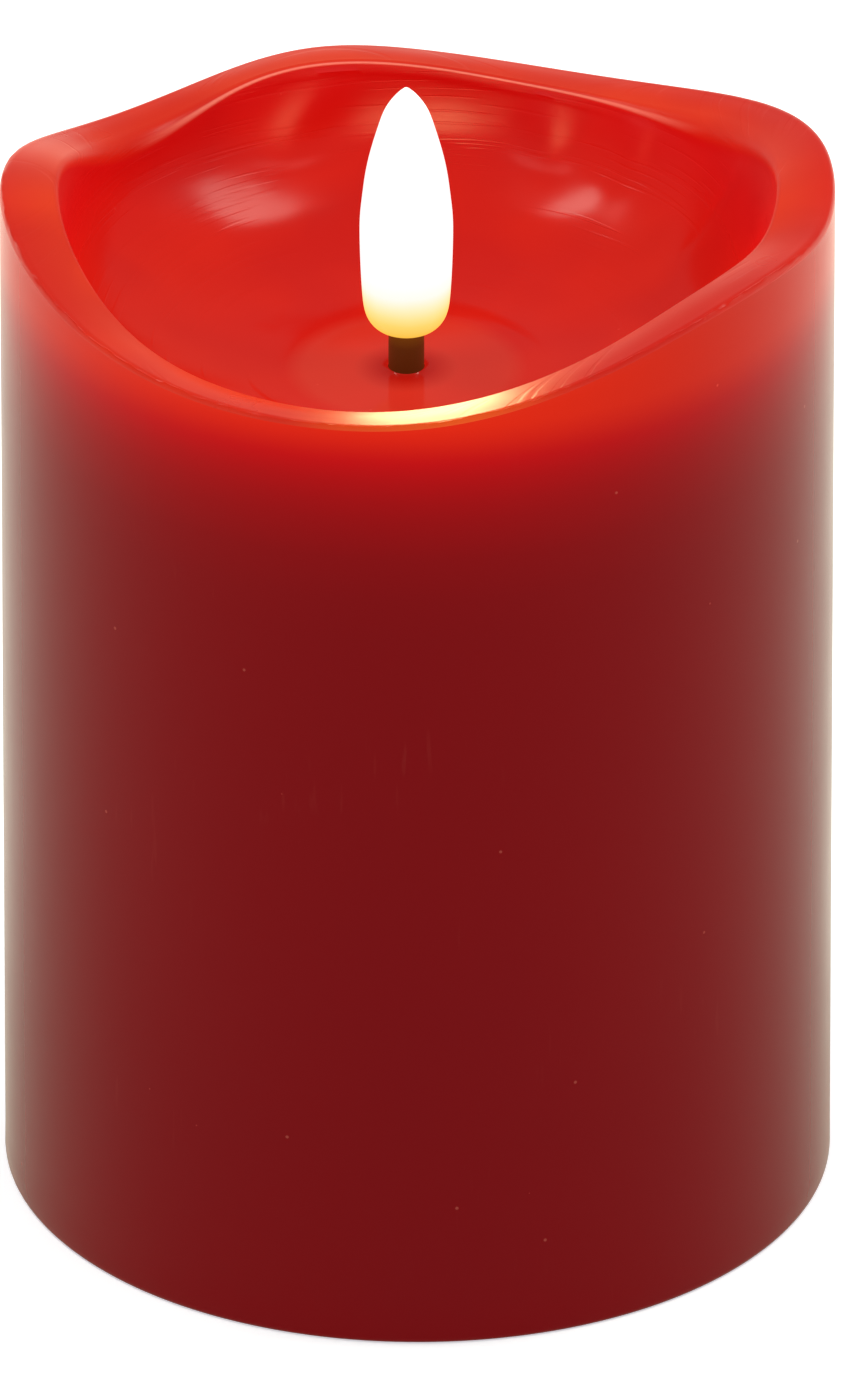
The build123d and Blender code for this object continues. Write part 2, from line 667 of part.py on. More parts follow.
with BuildPart() as base_screws:
    with BuildSketch(Plane.XY.offset(screw_seat_z)):
        with Locations(*screw_places):
            Circle(screw_head_r)
    extrude(amount=-screw_head_h)
    fillet(base_screws.edges().group_by(Axis.Z)[0], part_fillet)
    with BuildSketch(Plane.XY.offset(screw_seat_z)):
        with Locations(*screw_places):
            Circle(screw_r)
    extrude(amount=screw_length)
    chamfer(base_screws.edges().group_by(Axis.Z)[-1], part_fillet)
    with BuildSketch(Plane.XY.offset(screw_seat_z - screw_head_h)):
        with Locations(*screw_places):
            Rectangle(recess_length, recess_width)
            Rectangle(recess_width, recess_length)
    extrude(amount=recess_depth, mode=Mode.SUBTRACT)
base_screws.part.label = "base_screws"
export_step(base_screws.part, "parts/base_screws.step")


# ---------------------------------------------------------------- cells
def make_cell(y, side):
    """An AA cell lying along X, with its raised terminal at the box end named by side."""
    with BuildPart() as cell:
        with BuildSketch(Plane(origin=(side * tip_x, y, cell_z), z_dir=(-side, 0, 0))):
            Circle(cell_tip_r)
        extrude(amount=cell_tip_h + cell_shoulder)
        with BuildSketch(
            Plane(origin=(side * (tip_x - cell_tip_h), y, cell_z), z_dir=(-side, 0, 0))
        ):
            Circle(cell_d / 2)
        extrude(amount=cell_length - cell_tip_h)
        can_rims = cell.edges().filter_by(GeomType.CIRCLE).sort_by(SortBy.RADIUS)[-2:]
        fillet(can_rims, cell_shoulder)
    return cell


battery_cell_front = make_cell(-cell_y, 1)
battery_cell_front.part.label = "battery_cell_front"
export_step(battery_cell_front.part, "parts/battery_cell_front.step")

battery_cell_rear = make_cell(cell_y, -1)
battery_cell_rear.part.label = "battery_cell_rear"
export_step(battery_cell_rear.part, "parts/battery_cell_rear.step")

# ---------------------------------------------------------------- contacts
plate_x = box_end - plate_t
tab_top_z = box_top_z + plate_t


def make_contact(side, plates, nubs, tabs):
    """Plates on one end wall of the box, with pressed nubs and solder tabs where asked."""
    with BuildPart() as contact:
        wall = Plane(origin=(side * plate_x, 0, cell_z), x_dir=(0, 1, 0), z_dir=(side, 0, 0))
        with BuildSketch(wall):
            with Locations(*[(y, 0) for y in plates]):
                Rectangle(plate_width, plate_height)
            with Locations(((plates[0] + plates[-1]) / 2, 0)):
                Rectangle(plates[-1] - plates[0] + plate_width / 2, plate_height / 2)
        extrude(amount=plate_t)
        # The nubs meet the raised terminals.
        for y in nubs:
            with BuildSketch(Plane(origin=(side * plate_x, y, cell_z), z_dir=(-side, 0, 0))):
                Circle(nub_root_r)
            with BuildSketch(Plane(origin=(side * tip_x, y, cell_z), z_dir=(-side, 0, 0))):
                Circle(nub_r)
            loft()
        # The tabs rise through the roof of the box and fold in over it.
        for y in tabs:
            with BuildSketch(
                Plane(origin=(side * plate_x, y, cell_z), x_dir=(0, side, 0), z_dir=(side, 0, 0))
            ):
                with Locations((0, (tab_top_z - cell_z) / 2)):
                    Rectangle(tab_width, tab_top_z - cell_z)
            extrude(amount=plate_t)
            with BuildSketch(Plane.XY.offset(box_top_z)):
                with Locations((side * (box_end - tab_reach / 2), y)):
                    Rectangle(tab_reach, tab_width)
            extrude(amount=plate_t)
    return contact


def make_spring(side, y):
    """A coned coil from a plate to the flat end of a cell."""
    rise = spring_length - spring_wire
    with BuildPart() as spring:
        with BuildLine():
            coil = Helix(
                rise / spring_turns,
                rise,
                spring_r,
                center=(side * (plate_x - spring_wire / 2), y, cell_z),
                direction=(-side, 0, 0),
                cone_angle=spring_cone,
            )
        with BuildSketch(Plane(origin=coil @ 0, z_dir=coil % 0)):
            Circle(spring_wire / 2)
        sweep()
    return spring


positive_contact = make_contact(1, plates=[-cell_y], nubs=[-cell_y], tabs=[-cell_y])
positive_contact.part.label = "positive_contact"
export_step(positive_contact.part, "parts/positive_contact.step")

negative_contact = make_contact(1, plates=[cell_y], nubs=[], tabs=[cell_y])
negative_contact.part.label = "negative_contact"
export_step(negative_contact.part, "parts/negative_contact.step")

link_contact = make_contact(-1, plates=[-cell_y, cell_y], nubs=[cell_y], tabs=[])
link_contact.part.label = "link_contact"
export_step(link_contact.part, "parts/link_contact.step")

negative_spring = make_spring(1, cell_y)
negative_spring.part.label = "negative_spring"
export_step(negative_spring.part, "parts/negative_spring.step")

link_spring = make_spring(-1, -cell_y)
link_spring.part.label = "link_spring"
export_step(link_spring.part, "parts/link_spring.step")

# ---------------------------------------------------------------- wick and flame
with BuildPart() as wick_tube:
    with BuildSketch(wick_level(wick_bottom_z)):
        Circle(wick_r + wick_collar)
    extrude(amount=wick_collar_h)
    with BuildSketch(wick_level(wick_bottom_z)):
        Circle(wick_r)
    extrude(amount=wick_top_z - wick_bottom_z)
    with BuildSketch(wick_level(wick_bottom_z)):
        Circle(wick_bore_r)
    extrude(amount=wick_top_z - wick_bottom_z, mode=Mode.SUBTRACT)
wick_tube.part.label = "wick_tube"
export_step(wick_tube.part, "parts/wick_tube.step")


def bulb_points(radius, bottom, height):
    """The bulb's outline at one radius and height, foot to tip."""
    return [(radius * across, bottom + height * up) for across, up in flame_outline]


with BuildPart() as flame_lens:
    with BuildSketch(wick_front):
        with BuildLine():
            outside = bulb_points(flame_r, flame_z, flame_h)
            Spline(*outside)
            Line(outside[-1], (0, flame_z))
            Line((0, flame_z), outside[0])
        make_face()
    revolve(axis=wick_axis)
    with BuildSketch(wick_front):
        with BuildLine():
            inside = bulb_points(flame_r - flame_wall, led_z, flame_z + flame_h - flame_wall - led_z)
            Spline(*inside)
            Line(inside[-1], (0, led_z))
            Line((0, led_z), inside[0])
        make_face()
    revolve(axis=wick_axis, mode=Mode.SUBTRACT)
    with BuildSketch(wick_level(led_z)):
        Circle(led_flange_r + led_gap)
    extrude(amount=led_flange_h + led_gap, mode=Mode.SUBTRACT)
    with BuildSketch(wick_level(flame_z)):
        Circle(wick_r + wick_fit)
    extrude(amount=flame_socket, mode=Mode.SUBTRACT)
    with BuildSketch(wick_level(flame_z)):
        Circle(wick_bore_r)
    extrude(amount=led_z - flame_z, mode=Mode.SUBTRACT)
flame_lens.part.label = "flame_lens"
export_step(flame_lens.part, "parts/flame_lens.step")

with BuildPart() as flame_led:
    with BuildSketch(wick_level(led_z)):
        Circle(led_flange_r)
    extrude(amount=led_flange_h)
    with BuildSketch(wick_level(led_z)):
        Circle(led_r)
    extrude(amount=led_flange_h + led_body_h)
    with BuildSketch(wick_front):
        with BuildLine():
            led_top = led_z + led_flange_h + led_body_h
            Line((0, led_top), (led_r, led_top))
            RadiusArc((led_r, led_top), (0, led_top + led_r), led_r)
            Line((0, led_top + led_r), (0, led_top))
        make_face()
    revolve(axis=wick_axis)
    with BuildSketch(wick_level(led_z)):
        with GridLocations(2 * lead_offset, 0, 2, 1):
            Rectangle(lead_size, lead_size)
    extrude(amount=-lead_length)
flame_led.part.label = "flame_led"
export_step(flame_led.part, "parts/flame_led.step")


# ---------------------------------------------------------------- wires
def make_wire(name, points, radius):
    """A wire along its route, with its length and the radius of each bend printed."""
    with BuildPart() as wire:
        with BuildLine():
            path = FilletPolyline(*points, radius=arc_radii(points))
        with BuildSketch(Plane(origin=path @ 0, z_dir=path % 0)):
            Circle(radius)
        sweep()
    swept = wire.part.volume / (math.pi * radius**2 * path.length)
    bends = ", ".join(f"{r:.1f}" for r in arc_radii(points))
    print(f"{name}: {path.length:.1f} mm long, bends of {bends} mm, volume ratio {swept:.4f}")
    return wire


def wire_route(start, end, bends):
    """Start to end by way of the bends, each given as shares of the way in x and y, and a height."""
    run_x, run_y = end[0] - start[0], end[1] - start[1]
    corners = [(start[0] + x * run_x, start[1] + y * run_y, z) for x, y, z in bends]
    return [start, *corners, end]


# The battery wires lie over the roof of the box, then drop to the board's outer corners.
tab_wire_x = box_end - 0.6 * tab_reach
tab_wire_z = tab_top_z + battery_wire_r
roof_wire_z = tab_wire_z + wire_lift
edge_wire_z = roof_wire_z + wire_arch
drop_wire_z = board_top_z + wire_drop
drop_x = post_x + battery_pad_out
drop_y = board_rear_y - battery_pad_in

positive_bends = [
    (0.51, 0.06, roof_wire_z),
    (0.895, 0.6, edge_wire_z),
    (1.0, 1.015, drop_wire_z),
]
positive_route = wire_route(
    (tab_wire_x, -cell_y, tab_wire_z), (drop_x, drop_y, board_top_z), positive_bends
)
battery_wire_positive = make_wire("battery_wire_positive", positive_route, battery_wire_r)
battery_wire_positive.part.label = "battery_wire_positive"
export_step(battery_wire_positive.part, "parts/battery_wire_positive.step")

negative_bends = [
    (0.24, 0.065, roof_wire_z),
    (0.505, 0.31, roof_wire_z + 0.6 * wire_lift),
    (0.79, 0.55, roof_wire_z + 0.4 * wire_lift),
    (0.96, 0.81, edge_wire_z),
    (1.0, 1.007, drop_wire_z),
]
negative_route = wire_route(
    (tab_wire_x, cell_y, tab_wire_z), (-drop_x, drop_y, board_top_z), negative_bends
)
battery_wire_negative = make_wire("battery_wire_negative", negative_route, battery_wire_r)
battery_wire_negative.part.label = "battery_wire_negative"
export_step(battery_wire_negative.part, "parts/battery_wire_negative.step")

# The LED's wires climb behind the cup's front wall and go up through the wick.
climb = wick_bottom_z - board_top_z
led_bends = [
    (0.0, 0.015, board_top_z + 0.27 * climb),
    (0.265, 0.32, board_top_z + 0.52 * climb),
    (1.0, 0.725, board_top_z + 0.67 * climb),
    (1.0, 1.0, board_top_z + 0.855 * climb),
]


def led_route(pad_x, lead_side):
    """From a pad on the board to one lead of the LED."""
    start = (pad_x, board_front_y + led_pad_in, board_top_z)
    return wire_route(start, (wick_x + lead_side, 0, led_z - lead_length), led_bends)


led_wire_positive = make_wire("led_wire_positive", led_route(led_pad_x, lead_offset), led_wire_r)
led_wire_positive.part.label = "led_wire_positive"
export_step(led_wire_positive.part, "parts/led_wire_positive.step")

led_wire_negative = make_wire(
    "led_wire_negative", led_route(led_pad_x - led_pad_pitch, -lead_offset), led_wire_r
)
led_wire_negative.part.label = "led_wire_negative"
export_step(led_wire_negative.part, "parts/led_wire_negative.step")
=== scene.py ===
"""The flameless candle's finished look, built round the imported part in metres."""

import math

import bpy
from mathutils import Matrix, Vector, noise


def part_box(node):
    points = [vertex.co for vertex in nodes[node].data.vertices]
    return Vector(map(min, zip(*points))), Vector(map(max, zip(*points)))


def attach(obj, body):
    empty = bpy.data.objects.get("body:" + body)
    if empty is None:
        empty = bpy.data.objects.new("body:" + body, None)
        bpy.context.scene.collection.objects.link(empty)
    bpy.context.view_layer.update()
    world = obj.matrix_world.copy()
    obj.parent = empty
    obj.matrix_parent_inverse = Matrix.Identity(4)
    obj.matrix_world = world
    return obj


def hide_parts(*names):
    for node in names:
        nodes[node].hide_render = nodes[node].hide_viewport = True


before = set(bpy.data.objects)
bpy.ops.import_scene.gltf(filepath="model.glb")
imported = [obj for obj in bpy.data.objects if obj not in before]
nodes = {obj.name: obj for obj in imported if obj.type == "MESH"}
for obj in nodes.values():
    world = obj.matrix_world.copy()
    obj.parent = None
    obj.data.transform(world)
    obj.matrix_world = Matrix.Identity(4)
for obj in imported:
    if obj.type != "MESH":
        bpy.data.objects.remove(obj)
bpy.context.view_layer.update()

# ------------------------------------------------------------------ wax pillar shell
# A hollow pillar of real wax, cast in red and then melted by hand at the top, so that the
# rim runs up and down and a glossy bowl lies round the wick. It is glued on the plastic cup.
MM = 0.001
wax_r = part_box("wax_body")[1].x
lens_low, lens_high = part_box("flame_lens")
wick_x = (lens_low.x + lens_high.x) / 2
WAX_TURN = 360           # places round the pillar
ABOVE = 120 * MM         # higher than any piece
HOLE_LIP = 0.22 * MM     # melted wax that has crept up the wick
DISC_R = 10.2 * MM       # flat disc round the wick, with a faint step at its edge
DISC_STEP = 0.05 * MM
SWELL = 0.17 * MM        # how far the melted bowl swells and sinks
LIP_BEAD = 0.20 * MM     # bead under the inner lip at the back
BURR = 0.30 * MM         # trimmed burr on the front outer edge
SEAM_Z = 3.6 * MM        # mould line above the foot
SEAM_DEPTH = 0.05 * MM
DISH_RISE = 11.3 * MM    # how far the bowl's round floor would rise up to its mouth
BAND_CROWN = 0.10 * MM   # swell of the rim's flat band
FOOT_EDGE = 0.6 * MM     # rounding of the foot
FLANGE_TOP = 3.2 * MM    # the cavity is straight up to here and then tapers with the cup
# Where the lip melted to soft corners and where the outer edge has its burr: bearing and width
# in degrees. The bowl is steep on the right, where its round floor tilts less before the wall.
SOFT_CORNERS = [(145, 19), (33, 18)]
BURR_AT = [(205, 26), (270, 50), (318, 22)]
STEEP_AT, STEEP_WIDE = 20, 38
FLAT_TILT, STEEP_TILT, STEEP_KNEE = 58, 36, 3.4 * MM
# Ridges that the melting left in the bowl: how high, at which bearing, how far the bearing
# drifts up the wall, how wide in degrees, and their middle and spread as shares of the wall.
RIDGES = [
    (0.34 * MM, 51, 0, 3.0, 0.74, 0.26), (0.14 * MM, 31, -8, 1.2, 0.65, 0.30),
    (0.50 * MM, 118, -14, 5, 0.72, 0.22), (0.40 * MM, 68, 0, 4, 0.70, 0.22),
]


def first_hit(name, start, way):
    """The first place where a straight line meets a CAD piece."""
    struck, place, _, _ = nodes[name].ray_cast(Vector(start), Vector(way))
    assert struck, f"{name}: nothing met from {start}"
    return place


def hump(value, middle, width):
    """A smooth hump of height 1."""
    return math.exp(-(((value - middle) / width) ** 2))


def mix(a, b, share):
    """A value between two others."""
    return a + (b - a) * share


def bend(start, corner, end, share):
    """A place on the smooth curve that leaves one point, aims at a corner and ends at another."""
    return [
        (1 - share) ** 2 * a + 2 * share * (1 - share) * b + share**2 * c
        for a, b, c in zip(start, corner, end)
    ]


# Sizes of the CAD shell, found along straight lines: its pool, its mouth, the cavity's roof and
# foot, the hole for the wick, and the wick.
pool_z = first_hit("wax_body", (0, 6 * MM, ABOVE), (0, 0, -1)).z
mouth_r = first_hit("wax_body", (0, 0, 91.6 * MM), (0, 1, 0)).y
roof_z = first_hit("wax_body", (0, 10 * MM, 20 * MM), (0, 0, 1)).z
roof_r = first_hit("wax_body", (0, 5 * MM, roof_z - 0.1 * MM), (0, 1, 0)).y
foot_r = first_hit("wax_body", (0, 0, 0.5 * MM), (0, 1, 0)).y
hole_r = first_hit("wax_body", (wick_x, 0, pool_z - MM), (0, 1, 0)).y
wick_r = first_hit("wick_tube", (wick_x, 10 * MM, pool_z + MM), (0, -1, 0)).y

# Heights of the inner lip and of the outer edge all round, run on from the band between them.
EDGE_IN = 1.3 * MM
inner_z, outer_z = [], []
for i in range(WAX_TURN):
    turn = math.tau * i / WAX_TURN
    near, far = [
        first_hit("wax_body", (r * math.cos(turn), r * math.sin(turn), ABOVE), (0, 0, -1)).z
        for r in (mouth_r + EDGE_IN, wax_r - EDGE_IN)
    ]
    run_on = (far - near) / (wax_r - mouth_r - 2 * EDGE_IN) * EDGE_IN
    inner_z.append(near - run_on)
    outer_z.append(far + run_on)


def even(heights, i):
    """A height at place i, evened out with its neighbours."""
    return sum(heights[(i + k) % WAX_TURN] for k in range(-4, 5)) / 9


rim_seen = [(even(inner_z, i), even(outer_z, i)) for i in range(WAX_TURN)]


def wax_place(part, share, turn):
    """Radius and height of the shell's outline at one bearing, part by part from the wick out."""
    lip_z, edge_z = rim_seen[round(turn / math.tau * WAX_TURN) % WAX_TURN]
    bearing = math.degrees(turn) % 360
    slope = (edge_z - lip_z) / (wax_r - mouth_r)
    melted = sum(hump(bearing, at, wide) for at, wide in SOFT_CORNERS)
    soft = (0.5 + 1.3 * melted) * MM  # rounding of the inner lip
    lip_run = min(soft, 2 * MM)
    blunt = (1.1 - 0.55 * hump(bearing, 270, 62)) * MM  # rounding of the outer edge
    lip_foot = (mouth_r, lip_z - soft)
    steep = max(hump(bearing, at, STEEP_WIDE) for at in (STEEP_AT, STEEP_AT + 360))
    tilt = math.radians(mix(FLAT_TILT, STEEP_TILT, steep))
    rise_r = mix(DISC_R, mouth_r, math.sin(tilt))
    rise_z = pool_z + DISH_RISE * (1 - math.cos(tilt))
    rise_slope = DISH_RISE / (mouth_r - DISC_R) * math.tan(tilt)
    knee_r = mix(mouth_r, mouth_r - STEEP_KNEE, steep)
    knee = (knee_r, rise_z + rise_slope * (knee_r - rise_r))
    if part == "hole":
        return hole_r, mix(roof_z, pool_z - 0.5 * MM, share)
    if part == "hole lip":
        return bend(
            (wick_r + 0.02 * MM, pool_z + HOLE_LIP), (wick_r + 0.12 * MM, pool_z),
            (wick_r + MM, pool_z), share,
        )
    if part == "disc":
        return mix(wick_r + MM, DISC_R, share), pool_z
    if part in ("dish", "inner wall"):
        if part == "dish":
            part_tilt = share * tilt
            r = mix(DISC_R, mouth_r, math.sin(part_tilt))
            z = pool_z + DISH_RISE * (1 - math.cos(part_tilt))
        else:
            r, z = bend((rise_r, rise_z), knee, lip_foot, share)
        z += DISC_STEP * hump(r, DISC_R + 0.9 * MM, 0.7 * MM)
        lean = math.atan2(z - pool_z, mouth_r + 4 * MM - r)
        spot = Vector((r * math.cos(turn), r * math.sin(turn), z)) / (13 * MM)
        held = min(1, max(0, (r - DISC_R) / (5 * MM))) * min(1, (lip_z - z + 0.2 * MM) / (3 * MM))
        push = SWELL * held * (noise.noise(spot) + 0.35 * noise.noise(spot * 2.3))
        up = (z - pool_z) / (lip_z - pool_z)
        for height, at, drift, width, middle, spread in RIDGES:
            push += height * hump(bearing, at + drift * up, width) * hump(up, middle, spread)
        push += LIP_BEAD * hump(bearing, 92, 42) * hump(z, lip_z - 0.95 * MM, 0.2 * MM)
        return r - push * math.sin(lean), z + push * math.cos(lean)
    if part == "inner lip":
        return bend(lip_foot, (mouth_r, lip_z), (mouth_r + lip_run, lip_z + slope * lip_run), share)
    if part == "band":
        r = mix(mouth_r + lip_run, wax_r - blunt, share)
        crown = BAND_CROWN * math.sin(math.pi * share)
        return r, lip_z + slope * (r - mouth_r) + crown
    if part == "outer lip":
        front = max(hump(bearing, at, wide) for at, wide in BURR_AT)
        rough = 0.45 + 1.2 * noise.noise(Vector((bearing * 0.7, share * 3, 0)))
        r, z = bend(
            (wax_r - blunt, edge_z - slope * blunt), (wax_r, edge_z), (wax_r, edge_z - blunt), share
        )
        burr = BURR * front * rough * hump(share, 0.55, 0.12)
        return min(r + 0.3 * burr, wax_r), z + burr
    if part == "wall":
        z = mix(edge_z - blunt, FOOT_EDGE, share**1.15)
        seam = SEAM_DEPTH * hump(z, SEAM_Z, 0.25 * MM)
        place = Vector((math.cos(turn), math.sin(turn), z * 22)) * 1.6
        return wax_r - seam - 0.02 * MM * (1 + noise.noise(place)), z
    if part == "foot edge":
        return bend((wax_r, FOOT_EDGE), (wax_r, 0), (wax_r - FOOT_EDGE, 0), share)
    if part == "foot":
        return mix(wax_r - FOOT_EDGE, foot_r, share), 0
    if part == "cavity":
        z = mix(0, roof_z, share)
        up = max(0, (z - FLANGE_TOP) / (roof_z - FLANGE_TOP))
        return mix(foot_r, roof_r, up), z
    return mix(roof_r, hole_r, share), roof_z


# Each part of the outline with how many places it has, the last one being the next part's first.
wax_parts = [
    ("hole", 3), ("hole lip", 6), ("disc", 6), ("dish", 26), ("inner wall", 26), ("inner lip", 9),
    ("band", 7), ("outer lip", 10), ("wall", 66), ("foot edge", 5), ("foot", 3), ("cavity", 6),
    ("roof", 5),
]
wax_outline = [(part, i / count) for part, count in wax_parts for i in range(count)]

bpy.ops.object.select_all(action="DESELECT")
bpy.ops.mesh.primitive_circle_add(vertices=len(wax_outline), radius=MM, fill_type="NOTHING")
wax = bpy.context.object
wax.name = wax.data.name = "wax_shell"
ring_of = wax.data.attributes.new("ring", "INT", "POINT")
for i, vertex in enumerate(wax.data.vertices):
    ring_of.data[i].value = i
    r, z = wax_place(*wax_outline[i], 0)
    vertex.co = (r, 0, z)
bpy.ops.object.mode_set(mode="EDIT")
bpy.ops.mesh.select_all(action="SELECT")
bpy.ops.mesh.spin(steps=WAX_TURN, angle=math.tau, center=(0, 0, 0), axis=(0, 0, 1))
bpy.ops.mesh.select_all(action="SELECT")
bpy.ops.mesh.remove_doubles(threshold=0.01 * MM)
bpy.ops.object.mode_set(mode="OBJECT")
rings = [entry.value for entry in wax.data.attributes["ring"].data]
wax.data.attributes.remove(wax.data.attributes["ring"])
rim_mark = wax.data.attributes.new("rim_height", "FLOAT", "POINT")
dull_mark = wax.data.attributes.new("rim_share", "FLOAT", "POINT")
for vertex, ring, high, dull in zip(wax.data.vertices, rings, rim_mark.data, dull_mark.data):
    turn = math.atan2(vertex.co.y, vertex.co.x) % math.tau
    high.value = rim_seen[round(turn / math.tau * WAX_TURN) % WAX_TURN][1]
    part, share = wax_outline[ring]
    dull.value = {"inner lip": share, "band": 1, "outer lip": 1, "wall": 1}.get(part, 0)
    r, z = wax_place(*wax_outline[ring], turn)
    near_wick = max(0.0, min(1.0, (DISC_R - r) / (DISC_R - 3 * MM)))
    vertex.co = (r * math.cos(turn) + wick_x * near_wick, r * math.sin(turn), z)
bpy.ops.object.mode_set(mode="EDIT")
bpy.ops.mesh.select_all(action="SELECT")
bpy.ops.mesh.normals_make_consistent(inside=False)
bpy.ops.object.mode_set(mode="OBJECT")
bpy.ops.object.shade_smooth_by_angle(angle=math.radians(50))


def shader_of(finish):
    """A material's tree and its Principled shader."""
    return finish.node_tree, finish.node_tree.nodes["Principled BSDF"]


def new_finish(name, **sockets):
    """A material whose shader takes the given values; returns it with its tree and shader."""
    finish = bpy.data.materials.new(name)
    finish.use_nodes = True
    tree, shader = shader_of(finish)
    for socket, value in sockets.items():
        shader.inputs[socket.replace("_", " ")].default_value = value
    return finish, tree, shader


def put(tree, kind, settings=(), **inputs):
    """Adds a node. Inputs are values, or sockets to link; a name in_0 means the first input."""
    made = tree.nodes.new(kind)
    for name, value in dict(settings).items():
        setattr(made, name, value)
    for name, value in inputs.items():
        key = int(name[3:]) if name.startswith("in_") else name.replace("_", " ")
        if isinstance(value, bpy.types.NodeSocket):
            tree.links.new(value, made.inputs[key])
        else:
            made.inputs[key].default_value = value
    return made


def feed(tree, node, **sockets):
    """Links sockets to the inputs that they are named for."""
    for name, socket in sockets.items():
        tree.links.new(socket, node.inputs[name.replace("_", " ")])


def glow(tree, shader, light):
    """Makes a finish give off a light."""
    feed(tree, shader, Emission_Color=light)
    shader.inputs["Emission Strength"].default_value = 1.0


def emboss(tree, shader, height, strength, depth):
    """Gives a finish its relief."""
    lift = put(tree, "ShaderNodeBump", Strength=strength, Distance=depth, Height=height)
    feed(tree, shader, Normal=lift.outputs[0])


def here(tree):
    """The place on the piece, in metres."""
    return put(tree, "ShaderNodeTexCoord").outputs["Object"]


def xyz(tree, value):
    """The three parts of a place or direction."""
    return put(tree, "ShaderNodeSeparateXYZ", in_0=value).outputs


def calc(tree, operation, *values):
    """A Math node's result."""
    inputs = {f"in_{i}": value for i, value in enumerate(values)}
    return put(tree, "ShaderNodeMath", {"operation": operation}, **inputs).outputs[0]


def times(tree, first, *others):
    """Numbers multiplied by each other."""
    for other in others:
        first = calc(tree, "MULTIPLY", first, other)
    return first


def calc3(tree, operation, first, second):
    """A Vector Math node's result on two colours or places."""
    made = put(tree, "ShaderNodeVectorMath", {"operation": operation}, in_0=first, in_1=second)
    return made.outputs[0]


def dim(tree, light, share):
    """A share of a light."""
    made = put(tree, "ShaderNodeVectorMath", {"operation": "SCALE"}, in_0=light, Scale=share)
    return made.outputs[0]


def away_from(tree, place, point):
    """Distance from a point, in millimetres."""
    reach = put(tree, "ShaderNodeVectorMath", {"operation": "DISTANCE"}, in_0=place, in_1=point)
    return times(tree, reach.outputs["Value"], 1000.0)


def span(tree, value, start, end, low=0.0, high=1.0, way="LINEAR"):
    """Goes from low to high while a value goes from start to end, and no further."""
    return put(
        tree, "ShaderNodeMapRange", {"interpolation_type": way}, in_0=value, in_1=start, in_2=end,
        in_3=low, in_4=high,
    ).outputs[0]


def ease(tree, value, start, end, low=0.0, high=1.0):
    """The same with a soft start and end."""
    return span(tree, value, start, end, low, high, "SMOOTHSTEP")


def fade(tree, share, first, second):
    """One number that turns into another with the share."""
    made = put(tree, "ShaderNodeMix", {"data_type": "FLOAT"}, Factor=share, in_2=first, in_3=second)
    return made.outputs[0]


def blend(tree, share, first, second):
    """One colour that turns into another with the share."""
    first, second = [(*v, 1) if isinstance(v, tuple) else v for v in (first, second)]
    made = put(tree, "ShaderNodeMix", {"data_type": "RGBA"}, Factor=share, in_6=first, in_7=second)
    return made.outputs[2]


def ramp(tree, value, stops):
    """A colour ramp with its stops as (place, colour), or (place, number) for a grey."""
    made = put(tree, "ShaderNodeValToRGB", in_0=value)
    points = made.color_ramp.elements
    while len(points) < len(stops):
        points.new(0.5)
    for point, (place, colour) in zip(points, stops):
        point.position = place
        point.color = (*colour, 1) if isinstance(colour, tuple) else (colour, colour, colour, 1)
    return made.outputs[0]


def cloudy(tree, place, scale, detail, roughness=0.5):
    """Seamless clouds of noise."""
    return put(
        tree, "ShaderNodeTexNoise", Vector=place, Scale=scale, Detail=detail, Roughness=roughness
    ).outputs[0]


def streaks(tree, place, stretch, start, patch, turn=0.0):
    """Thin streaks along one direction, inside patches."""
    along = put(tree, "ShaderNodeMapping", Vector=place, Rotation=(0, 0, turn), Scale=stretch)
    lines = cloudy(tree, along.outputs[0], 1.0, 1.0)
    return times(tree, span(tree, lines, start, start + 0.06), patch)


def open_group(name, inputs, outputs):
    """A shader node group with named inputs and their values, and named outputs."""
    group = bpy.data.node_groups.new(name, "ShaderNodeTree")
    for label, value in inputs.items():
        kind = "NodeSocketVector" if isinstance(value, tuple) else "NodeSocketFloat"
        group.interface.new_socket(label, in_out="INPUT", socket_type=kind).default_value = value
    for label in outputs:
        group.interface.new_socket(label, in_out="OUTPUT", socket_type="NodeSocketFloat")
    return group, group.nodes.new("NodeGroupInput").outputs, group.nodes.new("NodeGroupOutput")


def placed(tree, group, **inputs):
    """What a node group puts out in a material, with that material's values."""
    return put(tree, "ShaderNodeGroup", {"node_tree": group}, **inputs).outputs


# Where a place on the wax lies, in millimetres: its height, its distances from the flame's
# middle, from the low front of the rim and from the wick's foot, and the rim's height above
# it. Front is how far it faces the front or the back rather than a side, and Rim is 1 on the
# rim and 0 in the bowl.
flame_mid = (wick_x, 0, mix(lens_low.z, lens_high.z, 0.4))
rim_front = (wick_x + 2 * MM, -wax_r, 93.5 * MM)
wax_field, _, field_out = open_group(
    "wax field", {}, ("Height", "Flame", "Front", "Spot", "Wick", "Rim", "Rim height")
)
place = here(wax_field)
apart = xyz(wax_field, place)
rim, high = [
    put(wax_field, "ShaderNodeAttribute", {"attribute_name": name}).outputs["Fac"]
    for name in ("rim_share", "rim_height")
]
feed(
    wax_field, field_out,
    Height=times(wax_field, apart[2], 1000.0),
    Flame=away_from(wax_field, place, flame_mid),
    Front=calc(wax_field, "ABSOLUTE", calc(wax_field, "DIVIDE", apart[1], wax_r)),
    Spot=away_from(wax_field, place, rim_front),
    Wick=away_from(wax_field, place, (wick_x, 0, pool_z)),
    Rim=rim,
    Rim_height=times(wax_field, high, 1000.0),
)

